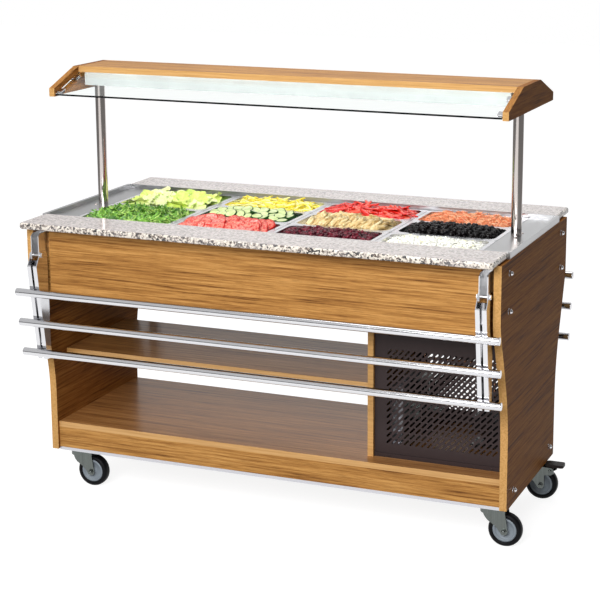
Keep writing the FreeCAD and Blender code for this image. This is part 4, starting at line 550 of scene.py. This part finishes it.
def hollow_shape(length, radius, wall, slant=0.0, sectors=14, bulge=0.0):
    """A short open tube: penne with slanted ends, or a pitted olive with a bulge."""
    shoulder = 1.0 + bulge * 0.8
    profile = [(-0.5, 1.0), (-0.25, shoulder), (0.0, 1.0 + bulge), (0.25, shoulder), (0.5, 1.0)]
    vertices, faces = [], []
    for inner in (False, True):
        for share, swell in profile:
            for sector in range(sectors):
                turn = 2 * math.pi * sector / sectors
                r = radius - wall if inner else radius * swell
                y, z = r * math.cos(turn), r * math.sin(turn)
                vertices.append((share * length + slant * z * (1 if share else 0), y, z))
    bore = len(profile) * sectors          # first vertex of the inner wall
    end = (len(profile) - 1) * sectors     # first vertex of the far end
    for sector in range(sectors):
        nxt = (sector + 1) % sectors
        for a in range(0, end, sectors):
            b = a + sectors
            faces.append((a + sector, a + nxt, b + nxt, b + sector))
            faces.append((bore + a + nxt, bore + a + sector, bore + b + sector, bore + b + nxt))
        faces.append((sector, bore + sector, bore + nxt, nxt))
        faces.append((end + nxt, bore + end + nxt, bore + end + sector, end + sector))
    return vertices, faces


# ---------------------------------------------------------------- filling the pans
class Heap:
    """The mound of food in one pan: where its surface is, and points spread over it."""

    def __init__(self, node, rise, roughness=0.004):
        low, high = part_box(node)
        self.body = BODIES[node]
        self.centre = ((low.x + high.x) / 2, (low.y + high.y) / 2)
        self.half = ((high.x - low.x) / 2 - PAN_BODY_INSET, (high.y - low.y) / 2 - PAN_BODY_INSET)
        self.rise = rise
        self.roughness = roughness
        self.phase = [RNG.uniform(0, PHASE_SPAN) for _ in range(4)]

    def height(self, u, v):
        """Surface height for shares u, v of the half sizes."""
        fall = (1 - abs(u) ** HEAP_END_FALL) * (1 - abs(v) ** HEAP_SIDE_FALL)
        lump = (math.sin(9 * u + self.phase[0]) * math.cos(5 * v + self.phase[1])
                + 0.6 * math.sin(17 * u + self.phase[2] + 4 * v))
        return RIM_TOP - PAN_FILL + (PAN_FILL + self.rise) * fall ** 0.5 + self.roughness * lump * fall

    def point(self, u, v, lift=0.0):
        return Vector((self.centre[0] + u * self.half[0], self.centre[1] + v * self.half[1],
                       self.height(u, v) + lift))

    def slope(self, u, v):
        step = 0.03
        dx = (self.height(u + step, v) - self.height(u - step, v)) / (2 * step * self.half[0])
        dy = (self.height(u, v + step) - self.height(u, v - step)) / (2 * step * self.half[1])
        return dx, dy

    def core(self, pile, index=0, sink=0.006, reach=0.985):
        """Closed mound just under the loose pieces, down to a flat underside in the pan."""
        nx, ny = 30, 16
        vertices, faces = [], []
        for level in range(2):
            for j in range(ny + 1):
                for i in range(nx + 1):
                    u, v = (2 * i / nx - 1) * reach, (2 * j / ny - 1) * reach
                    corner = (abs(u) ** HEAP_CORNER + abs(v) ** HEAP_CORNER) ** (1 / HEAP_CORNER)
                    if corner > reach:
                        u, v = u * reach / corner, v * reach / corner
                    p = self.point(u, v, -sink)
                    if level:
                        p.z = HEAP_BOTTOM
                    vertices.append(tuple(p))
        row = nx + 1
        size = row * (ny + 1)
        for j in range(ny):
            for i in range(nx):
                a = j * row + i
                faces.append((a, a + 1, a + row + 1, a + row))
                faces.append((size + a, size + a + row, size + a + row + 1, size + a + 1))
        edge = (list(range(row)) + [j * row + nx for j in range(1, ny + 1)]
                + [ny * row + i for i in range(nx - 1, -1, -1)]
                + [j * row for j in range(ny - 1, 0, -1)])
        for k, a in enumerate(edge):
            b = edge[(k + 1) % len(edge)]
            faces.append((a, size + a, size + b, b))
        pile.add((vertices, faces), Matrix.Identity(4), index)

    def spread(self, columns, rows, jitter=0.8, reach=0.93):
        """Jittered grid of shares over the heap, in mixed order."""
        spots = []
        for i in range(columns):
            for j in range(rows):
                u = (2 * (i + 0.5 + RNG.uniform(-0.5, 0.5) * jitter) / columns - 1) * reach
                v = (2 * (j + 0.5 + RNG.uniform(-0.5, 0.5) * jitter) / rows - 1) * reach
                spots.append((u, v))
        RNG.shuffle(spots)
        return spots

    def lay(self, u, v, lift, yaw, tip=0.25, size=1.0):
        """Matrix for a piece that lies along the slope of the heap at u, v."""
        dx, dy = self.slope(u, v)
        tilt = Matrix.Rotation(math.atan(dy), 4, "X") @ Matrix.Rotation(-math.atan(dx), 4, "Y")
        loose = Matrix.Rotation(RNG.uniform(-tip, tip), 4, "X") @ Matrix.Rotation(
            RNG.uniform(-tip, tip), 4, "Y")
        return (Matrix.Translation(self.point(u, v, lift)) @ tilt @ loose
                @ Matrix.Rotation(yaw, 4, "Z") @ Matrix.Scale(size, 4))

    def lean(self, u, v, lift, tilt, loose=0.12, size=1.0):
        """Matrix for a slice that leans back, its face turned up and to the front."""
        askew = (Matrix.Rotation(RNG.gauss(0, loose), 4, "Y")
                 @ Matrix.Rotation(RNG.gauss(0, loose), 4, "X")
                 @ Matrix.Rotation(any_turn(), 4, "Z"))
        return (Matrix.Translation(self.point(u, v, lift)) @ Matrix.Rotation(tilt, 4, "X") @ askew
                @ Matrix.Scale(size, 4))

    def rows(self, columns, rows, reach=0.90):
        """Shares in neat rows from the back to the front, every second row moved by half."""
        spots = []
        for row in range(rows):
            v = (1 - 2 * (row + 0.5) / rows) * reach
            for column in range(columns):
                u = (2 * (column + 0.25 + 0.5 * (row % 2)) / columns - 1) * reach
                spots.append((u + RNG.gauss(0, 0.012), v + RNG.gauss(0, 0.02)))
        return spots


def any_turn():
    """A random angle round the full circle."""
    return RNG.uniform(0, 2 * math.pi)


def fill_rocket(node):
    heap = Heap(node, 0.006, 0.004)
    pile = Pile()
    heap.core(pile, 0)
    shapes = [leaf_shape(0.055, 0.013, RNG.uniform(-0.5, 0.6), lobes) for lobes in (2, 3, 3, 0)]
    stem = strip_shape(0.05, 0.0022, 0.0011, 0.5, 3)
    for u, v in heap.spread(46, 20):
        index = RNG.choice((0, 1, 1, 1, 2))
        place = heap.lay(u, v, RNG.uniform(-0.003, 0.009), any_turn(), 0.75, RNG.uniform(0.6, 1.0))
        pile.add(RNG.choice(shapes), place, index)
        if RNG.random() < 0.25:
            pile.add(stem, heap.lay(u, v, RNG.uniform(0, 0.008), any_turn(), 0.5), 2)
    pile.build("rocket_leaves", heap.body, [
        produce("rocket_dark", (0.045, 0.150, 0.020), (0.110, 0.290, 0.035), 90.0),
        produce("rocket_mid", (0.130, 0.340, 0.040), (0.250, 0.520, 0.060), 90.0),
        produce("rocket_light", (0.360, 0.620, 0.110), (0.520, 0.720, 0.170), 90.0)])


def fill_lettuce(node):
    heap = Heap(node, 0.000, 0.006)
    pile = Pile()
    # The mound under the leaves takes a dark green of its own (index 3): painted shade in the gaps
    # between leaves.
    heap.core(pile, 3)
    shapes = [crinkled_leaf(0.042, seed, 0.10, 0.06) for seed in range(6)]
    for u, v in heap.rows(8, 6, 0.80):
        place = heap.lean(u, v, RNG.uniform(0.000, 0.010), 0.20, 0.20, RNG.uniform(0.6, 1.05))
        pile.add(RNG.choice(shapes), place, RNG.choice((0, 0, 1, 1, 1, 2)))
    pile.build("lettuce_leaves", heap.body, [
        produce("lettuce_mid", (0.620, 0.780, 0.130), (0.760, 0.880, 0.230), 60.0),
        produce("lettuce_pale", (0.780, 0.880, 0.320), (0.900, 0.940, 0.520), 60.0),
        produce("lettuce_green", (0.380, 0.620, 0.060), (0.560, 0.760, 0.120), 60.0),
        produce("lettuce_painted_shade", (0.160, 0.340, 0.025), (0.300, 0.520, 0.060), 60.0)])


def fill_slices(node, name, materials, radius, thickness, grid, tilt):
    """Round slices that lean on one another in rows."""
    heap = Heap(node, 0.006, 0.002)
    pile = Pile()
    # The mound under the slices takes the dark skin material (index 1): painted shade in the gaps
    # between slices.
    heap.core(pile, 1)
    shapes = [disc_slice(radius, thickness, 0.04, seed) for seed in range(4)]
    for u, v in heap.rows(*grid, 0.86):
        place = heap.lean(u, v, RNG.uniform(0.002, 0.006), tilt, 0.12, RNG.uniform(0.88, 1.06))
        pile.add(RNG.choice(shapes), place, 0)
    pile.build(name, heap.body, materials)


def tomato_flesh():
    """Cut face: red flesh with paler webs and seed jelly."""
    shader = Shader("tomato_flesh")
    coords = shader.object_coords()
    cells = shader.put("ShaderNodeTexVoronoi", Vector=coords, Scale=85.0)
    cells.feature = "DISTANCE_TO_EDGE"
    web = shader.ramp(cells.outputs["Distance"], [
        (0.00, (0.840, 0.300, 0.230)), (0.12, (0.720, 0.080, 0.060)), (0.40, (0.560, 0.022, 0.018))])
    fibres = shader.noise(coords, 260.0, 4.0)
    tone = shader.mix(shader.grey(fibres, 0.0, 0.5, 0.45, 0.68), web, (0.880, 0.400, 0.300))
    shader.set(Base_Color=tone, Roughness=0.22, Coat_Weight=0.5, Coat_Roughness=0.1)
    shader.bump(fibres, 0.4, 0.001)
    return shader.material


def cucumber_flesh():
    """Cut face: pale green flesh with paler seeds."""
    shader = Shader("cucumber_flesh")
    coords = shader.object_coords()
    seeds = shader.put("ShaderNodeTexVoronoi", Vector=coords, Scale=230.0)
    spots = shader.grey(seeds.outputs["Distance"], 0.55, 0.0, 0.10, 0.32)
    clouds = shader.noise(coords, 60.0, 4.0)
    ground = shader.ramp(clouds, [(0.35, (0.600, 0.740, 0.270)), (0.65, (0.780, 0.860, 0.440))])
    tone = shader.mix(spots, ground, (0.880, 0.910, 0.600))
    shader.set(Base_Color=tone, Roughness=0.25, Coat_Weight=0.5, Coat_Roughness=0.12)
    shader.bump(seeds.outputs["Distance"], 0.2, 0.0008)
    return shader.material


def fill_strips(node, name, colours, size, count, rise, bend=(0.1, 0.9), rough=0.25, tip=0.3,
                turn_spread=1.6):
    """Cut peppers or shreds: bowed strips laid over one another, mostly along the pan."""
    heap = Heap(node, rise, 0.003)
    pile = Pile()
    heap.core(pile, 0)
    length, width, thickness = size
    shapes = [strip_shape(length * RNG.uniform(0.8, 1.15), width, thickness,
                          RNG.uniform(*bend), seed) for seed in range(8)]
    for u, v in heap.spread(*count, 0.9, 0.88):
        yaw = RNG.gauss(0.0, turn_spread) + RNG.choice((0.0, math.pi))
        place = heap.lay(u, v, RNG.uniform(-0.001, 0.006), yaw, tip, RNG.uniform(0.8, 1.1))
        pile.add(RNG.choice(shapes), place, RNG.randrange(len(colours)))
    materials = [produce("%s_%d" % (name, index), low, high, 70.0, rough, 0.5)
                 for index, (low, high) in enumerate(colours)]
    pile.build(name, heap.body, materials)


def fill_beans(node):
    heap = Heap(node, 0.006, 0.003)
    pile = Pile()
    # The mound under the beans takes the darkest bean colour (index 0) and sits deeper: painted shade
    # in the gaps between beans.
    heap.core(pile, 0, 0.010)
    bean = ball_shape((0.0088, 0.0050, 0.0046), dent=0.35)
    for layer in (0.0, 0.005):
        for u, v in heap.spread(25, 11, 0.8, 0.93):
            place = heap.lay(u, v, layer - 0.003 + RNG.uniform(-0.002, 0.003), any_turn(), 0.8,
                             RNG.uniform(0.85, 1.15))
            pile.add(bean, place, RNG.randrange(2))
    pile.build("kidney_beans", heap.body, [
        produce("bean_dark_and_painted_shade", (0.030, 0.002, 0.006), (0.080, 0.005, 0.014), 50.0, 0.3, 0.1, 0.1, 0.3),
        produce("bean_red", (0.090, 0.005, 0.014), (0.190, 0.013, 0.030), 50.0, 0.3, 0.1, 0.1, 0.3)])


def fill_pasta(node):
    heap = Heap(node, 0.008, 0.003)
    pile = Pile()
    heap.core(pile, 0, 0.010)
    tube = hollow_shape(0.046, 0.0046, 0.0013, 0.4)
    for layer in (0.0, 0.006):
        for u, v in heap.spread(19, 5, 0.7, 0.82):
            place = heap.lay(u, v, layer + RNG.uniform(-0.002, 0.003), RNG.gauss(1.30, 0.16), 0.14,
                             RNG.uniform(0.9, 1.1))
            pile.add(tube, place, RNG.randrange(3))
    pile.build("penne", heap.body, [
        produce("penne_light", (0.860, 0.680, 0.340), (0.920, 0.790, 0.490), 80.0, 0.4, 0.1, 0.1),
        produce("penne_warm", (0.760, 0.550, 0.240), (0.860, 0.680, 0.370), 80.0, 0.4, 0.1, 0.1),
        produce("penne_deep", (0.560, 0.360, 0.130), (0.700, 0.500, 0.220), 80.0, 0.4, 0.1, 0.1)])


def fill_olives(node):
    heap = Heap(node, 0.006, 0.003)
    pile = Pile()
    heap.core(pile, 0, 0.014)
    olive = hollow_shape(0.017, 0.0046, 0.0020, 0.0, 16, 0.85)
    for layer in (-0.004, 0.006):
        for u, v in heap.spread(15, 7, 0.6, 0.90):
            place = heap.lay(u, v, layer + RNG.uniform(-0.002, 0.003), any_turn(), 0.9,
                             RNG.uniform(0.85, 1.1))
            pile.add(olive, place, 0)
    pile.build("black_olives", heap.body, [
        produce("olive_black", (0.003, 0.002, 0.003), (0.008, 0.006, 0.006), 60.0, 0.26, 0.0, 0.1,
                0.25)])


def fill_cheese(node):
    heap = Heap(node, 0.007, 0.002)
    pile = Pile()
    heap.core(pile, 0, 0.003)
    crumbs = [ball_shape((0.007, 0.0045, 0.003), 5, 8), strip_shape(0.018, 0.005, 0.002, 0.2, 4)]
    for u, v in heap.spread(36, 18, 0.9, 0.94):
        place = heap.lay(u, v, RNG.uniform(-0.002, 0.003), any_turn(), 0.6, RNG.uniform(0.7, 1.3))
        pile.add(RNG.choice(crumbs), place, 0 if RNG.random() < 0.88 else 1)
    pile.build("white_cheese", heap.body, [
        produce("cheese_white", (0.880, 0.870, 0.790), (0.950, 0.945, 0.900), 70.0, 0.5, 0.1),
        produce("cheese_yolk", (0.860, 0.830, 0.560), (0.920, 0.900, 0.720), 70.0, 0.5, 0.1)])


def fill_pans():
    fill_rocket("pan_1_front")
    fill_lettuce("pan_1_rear")
    # The skin materials also cover the mound under the slices, as painted shade.
    tomato_skin_and_painted_shade = produce("tomato_skin_and_painted_shade", (0.500, 0.008, 0.008), (0.680, 0.025, 0.018), 40.0,
                          0.4, 0.1, 0.3, 0.3)
    fill_slices("pan_2_front", "tomato_slices", [tomato_flesh(), tomato_skin_and_painted_shade],
                0.023, 0.006, (11, 5), 0.42)
    cucumber_skin_and_painted_shade = produce("cucumber_skin_and_painted_shade", (0.006, 0.040, 0.006), (0.022, 0.110, 0.014), 120.0,
                            0.5, 0.0, 0.3, 0.2)
    fill_slices("pan_2_middle", "cucumber_slices", [cucumber_flesh(), cucumber_skin_and_painted_shade],
                0.0195, 0.0060, (9, 4), 0.24)
    fill_strips("pan_2_rear", "yellow_pepper",
                [((0.860, 0.700, 0.040), (0.930, 0.820, 0.090)),
                 ((0.820, 0.620, 0.025), (0.910, 0.780, 0.060)),
                 ((0.900, 0.860, 0.260), (0.940, 0.910, 0.420))],
                (0.060, 0.008, 0.003), (26, 12), 0.007, turn_spread=0.6)
    fill_beans("pan_3_front")
    fill_pasta("pan_3_middle")
    fill_strips("pan_3_rear", "red_pepper",
                [((0.640, 0.009, 0.006), (0.780, 0.022, 0.010)),
                 ((0.520, 0.006, 0.005), (0.680, 0.016, 0.009)),
                 ((0.760, 0.040, 0.022), (0.840, 0.110, 0.060))],
                (0.095, 0.015, 0.0035), (16, 8), 0.008, (0.05, 0.4), 0.15, 0.22, 0.45)
    fill_cheese("pan_4_front")
    fill_olives("pan_4_middle")
    fill_strips("pan_4_rear", "carrot_shreds",
                [((0.860, 0.240, 0.090), (0.920, 0.360, 0.160)),
                 ((0.800, 0.180, 0.065), (0.880, 0.300, 0.130)),
                 ((0.900, 0.440, 0.220), (0.930, 0.560, 0.340))],
                (0.036, 0.0024, 0.0018), (44, 22), 0.008, (0.1, 1.2), 0.4, 0.4)


# ---------------------------------------------------------------- casters
def mirrored(side):
    """A closed profile from its points on the negative side of the wheel."""
    return side + [(radius, -offset) for radius, offset in reversed(side)]


def tyre_profile():
    r, w = WHEEL_RADIUS, WHEEL_HALF_WIDTH
    return mirrored([(HUB_RADIUS, -w + 0.003), (HUB_RADIUS + 0.002, -w + 0.0012), (r - 0.009, -w),
                     (r - 0.0055, -w + 0.0010), (r - 0.0022, -w + 0.0035),
                     (r - 0.0006, -w + 0.0075), (r, -w + 0.012)])


def hub_profile():
    """From the bore along the boss and the dished disc to the rim."""
    w, boss = WHEEL_HALF_WIDTH, HUB_HALF_WIDTH
    return mirrored([(0.0062, -boss), (0.0105, -boss), (0.0112, -boss + 0.0015),
                     (0.0118, -w + 0.008), (0.0150, -w + 0.0072), (0.0260, -w + 0.0072),
                     (0.0285, -w + 0.0050), (0.0295, -w + 0.0022), (0.0330, -w + 0.0020),
                     (HUB_RADIUS + 0.0004, -w + 0.0035)])


def caster_wheels(rubber, hub_plastic):
    """Tyre with a rounded tread and a stepped hub, turned round each CAD axle."""
    for name in ("front_left", "front_right", "rear_left", "rear_right"):
        node = "caster_wheel_" + name
        low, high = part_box(node)
        centre = tuple((low + high) / 2)
        vertices, faces = lathe(tyre_profile(), 72, centre)
        rim = mesh_object("tyre_" + name, vertices, faces, BODIES[node], [rubber])
        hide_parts(node)
        vertices, faces = lathe(hub_profile(), 60, centre)
        mesh_object("hub_" + name, vertices, faces, BODIES[node], [hub_plastic])


# ---------------------------------------------------------------- dressing the CAD nodes
def dress_all(nodes, material, bevel=0.0):
    for node in nodes:
        dress(node, material, bevel)


def nodes_named(prefix):
    return [node for node in sorted(NODES) if node.startswith(prefix)]


def dress_woodwork():
    dress_all(("aprons", "plinth_boards"), wood("laminate_lengthwise", "X"), 0.0008)
    dress_all(("partition", "guard_top_board"), wood("laminate_edged_boards", "X", "Y"), 0.0008)
    shelves = wood("laminate_shelves", "X", "Y", (0.85, 0.80, 0.90), 0.55)
    dress_all(("bottom_shelf", "middle_shelf"), shelves, 0.0008)
    # The side panels and gables take the laminate toned darker and browner: painted shade, as they get
    # little of the front light.
    painted_shade_side_panels = wood("laminate_side_panels_painted_shade", "Y", "Y", (0.62, 0.50, 0.42), 0.0, 0.02)
    dress_all(("side_panel_left", "side_panel_right"), painted_shade_side_panels, 0.0012)
    gables = wood("laminate_gables_painted_shade", "Y", "Y", (0.62, 0.50, 0.42), 0.0, 0.02)
    dress("guard_gables", gables, 0.0010)


def dress_metalwork():
    stainless = metal("stainless_deck", (0.50, 0.50, 0.51), 0.32, "X", 0.05, 0.16)
    dress_all(("deck_tub", "divider_bars"), stainless)
    pan_steel = metal("pan_steel", (0.82, 0.81, 0.84), 0.26, "X", 0.03, 0.08)
    dress_all(nodes_named("pan_"), pan_steel)
    chrome = metal("polished_tube", (0.66, 0.66, 0.68), 0.12, None, 0.0, 0.04)
    dress_all(("cap_nuts", "glass_clips", "front_tray_slide", "rear_tray_slide"), chrome)
    dress("guard_posts", metal("polished_post", (0.70, 0.64, 0.61), 0.09, None, 0.0, 0.05))
    zinc = metal("zinc_plate", (0.20, 0.22, 0.21), 0.20, "Z", 0.06, 0.65)
    dress_all(("top_rails", "tub_casing", "fan_shroud"), zinc)
    dress_all(nodes_named("caster_fork"), zinc, 0.0006)
    bracket_steel = metal("bracket_steel", (0.78, 0.78, 0.79), 0.30, "Z", 0.04, 0.10)
    dress_all(("tray_brackets", "caster_plates"), bracket_steel)
    dress_all(("plinth_trims", "condenser"), metal("aluminium_trim", (0.62, 0.62, 0.66), 0.38, "X"))
    dress("refrigerant_pipes", metal("copper_pipe", (0.80, 0.42, 0.27), 0.25, None, 0.1, 0.25))
    dress("drain_valve", metal("brass_valve", (0.78, 0.58, 0.27), 0.28, None, 0.1, 0.2))


def dress_painted_and_plastic():
    dress("base_frame", paint("frame_black", (0.020, 0.020, 0.022), 0.45, 0.1))
    grille_brown = paint("grille_brown", (0.034, 0.021, 0.021), 0.50, 0.0, 0.25)
    dress_all(("front_grille", "rear_grille"), grille_brown)
    dress("lamp_housing", paint("housing_white", (0.45, 0.455, 0.46), 0.34, 0.1), 0.0006)
    dress("lamp_tube", paint("opal_lamp", (0.90, 0.92, 0.94), 0.3, 0.3))
    dress("insulation", paint("rigid_foam", (0.80, 0.72, 0.48), 0.9, 0.0, 0.2, 220.0, 0.4))
    black_gloss = paint("gloss_black", (0.012, 0.012, 0.013), 0.25, 0.4)
    dress("power_switch", black_gloss, 0.0005)
    dress("thermostat_knob", black_gloss, 0.0008)
    dress("compressor", black_gloss)
    dress("fan_blades", paint("grey_plastic", (0.120, 0.122, 0.128), 0.5))
    pedal_brown = paint("pedal_plastic", (0.016, 0.011, 0.010), 0.45, 0.0, 0.15)
    dress_all(nodes_named("brake_pedal"), pedal_brown, 0.0010)
    rubber = paint("tyre_rubber", (0.005, 0.005, 0.006), 0.45, 0.0, 0.10, 400.0, 0.10)
    hub_grey = paint("hub_grey", (0.240, 0.275, 0.310), 0.45, 0.0, 0.3)
    caster_wheels(rubber, hub_grey)


def dress_stone_and_glass():
    dress("worktop_slabs", granite())
    dress_all(("front_glass", "rear_glass"), glass())


# ---------------------------------------------------------------- studio
def area_light(name, position, target, size, power):
    """A rectangular softbox aimed at target."""
    data = bpy.data.lights.new(name, "AREA")
    data.shape = "RECTANGLE"
    data.size, data.size_y = size
    data.energy = power
    lamp = bpy.data.objects.new(name, data)
    bpy.context.scene.collection.objects.link(lamp)
    lamp.location = position
    lamp.rotation_euler = (Vector(target) - Vector(position)).to_track_quat("-Z", "Y").to_euler()


def room_light():
    """Soft room: bright to the front, left and top, dim to the right.

    Mirrored, it is white behind, and dark far to the left and along the horizon.
    """
    world = bpy.data.worlds.new("studio")
    bpy.context.scene.world = world
    world.use_nodes = True
    room = NodeTree(world.node_tree)
    output = room.put("ShaderNodeOutputWorld")
    coords = room.put("ShaderNodeTexCoord")
    towards = room.put("ShaderNodeSeparateXYZ", Vector=coords.outputs["Generated"])
    around = room.grey(towards.outputs["X"], ROOM_LEFT, ROOM_RIGHT, -0.2, 0.7)
    raised = room.grey(towards.outputs["Z"], HORIZON_SHARE, 1.0, 0.05, 0.40)
    around = room.math("MULTIPLY", around, raised)
    glossy = room.path_share("Is Glossy Ray")
    behind = room.math("MULTIPLY", room.grey(towards.outputs["Y"], 0.0, 1.0, 0.72, 0.88), glossy)
    dark_left = room.grey(towards.outputs["X"], DARK_BAND, 1.0, -0.97, -0.88)
    dark_horizon = room.grey(towards.outputs["Z"], DARK_BAND, 1.0, 0.07, 0.12)
    bands = room.math("MULTIPLY", dark_left, dark_horizon)
    around = room.math("MULTIPLY", around,
                       room.math("MAXIMUM", bands, room.math("SUBTRACT", 1.0, glossy)))
    strength = room.math("MAXIMUM", room.math("MAXIMUM", around, behind),
                         room.path_share("Is Camera Ray", "Is Transmission Ray"))
    light = room.put("ShaderNodeBackground", Color=(1, 1, 1, 1), Strength=strength)
    room.link(light.outputs[0], output.inputs["Surface"])


def studio_floor():
    """Pale floor: white as seen, keeping a soft shadow, with little light thrown back up.

    Mirrored, it turns dark far to the right and far to the left.
    """
    shader = Shader("studio_floor")
    grain = shader.noise(shader.object_coords(), 30.0)
    coords = shader.put("ShaderNodeTexCoord")
    across = shader.put("ShaderNodeSeparateXYZ", Vector=coords.outputs["Object"]).outputs["X"]
    lit = shader.math("MULTIPLY", shader.grey(across, 1.0, DARK_BAND, *FLOOR_DARK_RIGHT),
                      shader.grey(across, DARK_BAND, 1.0, *FLOOR_DARK_LEFT))
    reflected = shader.math("MULTIPLY", lit, shader.path_share("Is Glossy Ray"))
    seen = shader.math("MAXIMUM", reflected,
                       shader.path_share("Is Camera Ray", "Is Transmission Ray"))
    shader.set(Base_Color=(0.32, 0.32, 0.32, 1), Roughness=shader.grey(grain, 0.6, 0.7),
               Emission_Color=(1, 1, 1, 1), Specular_IOR_Level=0.0,
               Emission_Strength=shader.math("MULTIPLY", seen, FLOOR_GLOW))
    mesh = bpy.data.meshes.new("studio_floor")
    reach = FLOOR_REACH
    mesh.from_pydata([(-reach, -reach, 0), (reach, -reach, 0), (reach, reach, 0),
                      (-reach, reach, 0)], [], [(0, 1, 2, 3)])
    mesh.materials.append(shader.material)
    floor = bpy.data.objects.new("studio_floor", mesh)
    bpy.context.scene.collection.objects.link(floor)


def studio():
    room_light()
    studio_floor()
    area_light("key", (0.5, -4.2, 2.6), (0.1, 0, 0.6), (2.6, 1.8), 190)
    area_light("top", (-0.2, 0.2, 3.6), (0, 0, 0.8), (2.6, 1.6), 45)
    bpy.context.scene.view_settings.view_transform = "Standard"


def camera():
    """The photograph's viewing angle, from measured points of the object."""
    azimuth = math.radians(21.31)
    elevation = math.radians(12.35)
    data = bpy.data.cameras.new("photo_camera")
    data.sensor_width = 36.0
    data.lens = 100.04
    data.shift_x = -0.0867
    data.shift_y = -0.1017
    data.clip_end = 60.0
    view = bpy.data.objects.new("photo_camera", data)
    bpy.context.scene.collection.objects.link(view)
    view.location = (1.9756 + SHIFT_X, -4.6249, 1.9168)
    view.rotation_euler = (math.pi / 2 - elevation, 0, azimuth)
    bpy.context.scene.camera = view


dress_woodwork()
dress_metalwork()
dress_painted_and_plastic()
dress_stone_and_glass()
fill_pans()
studio()
camera()
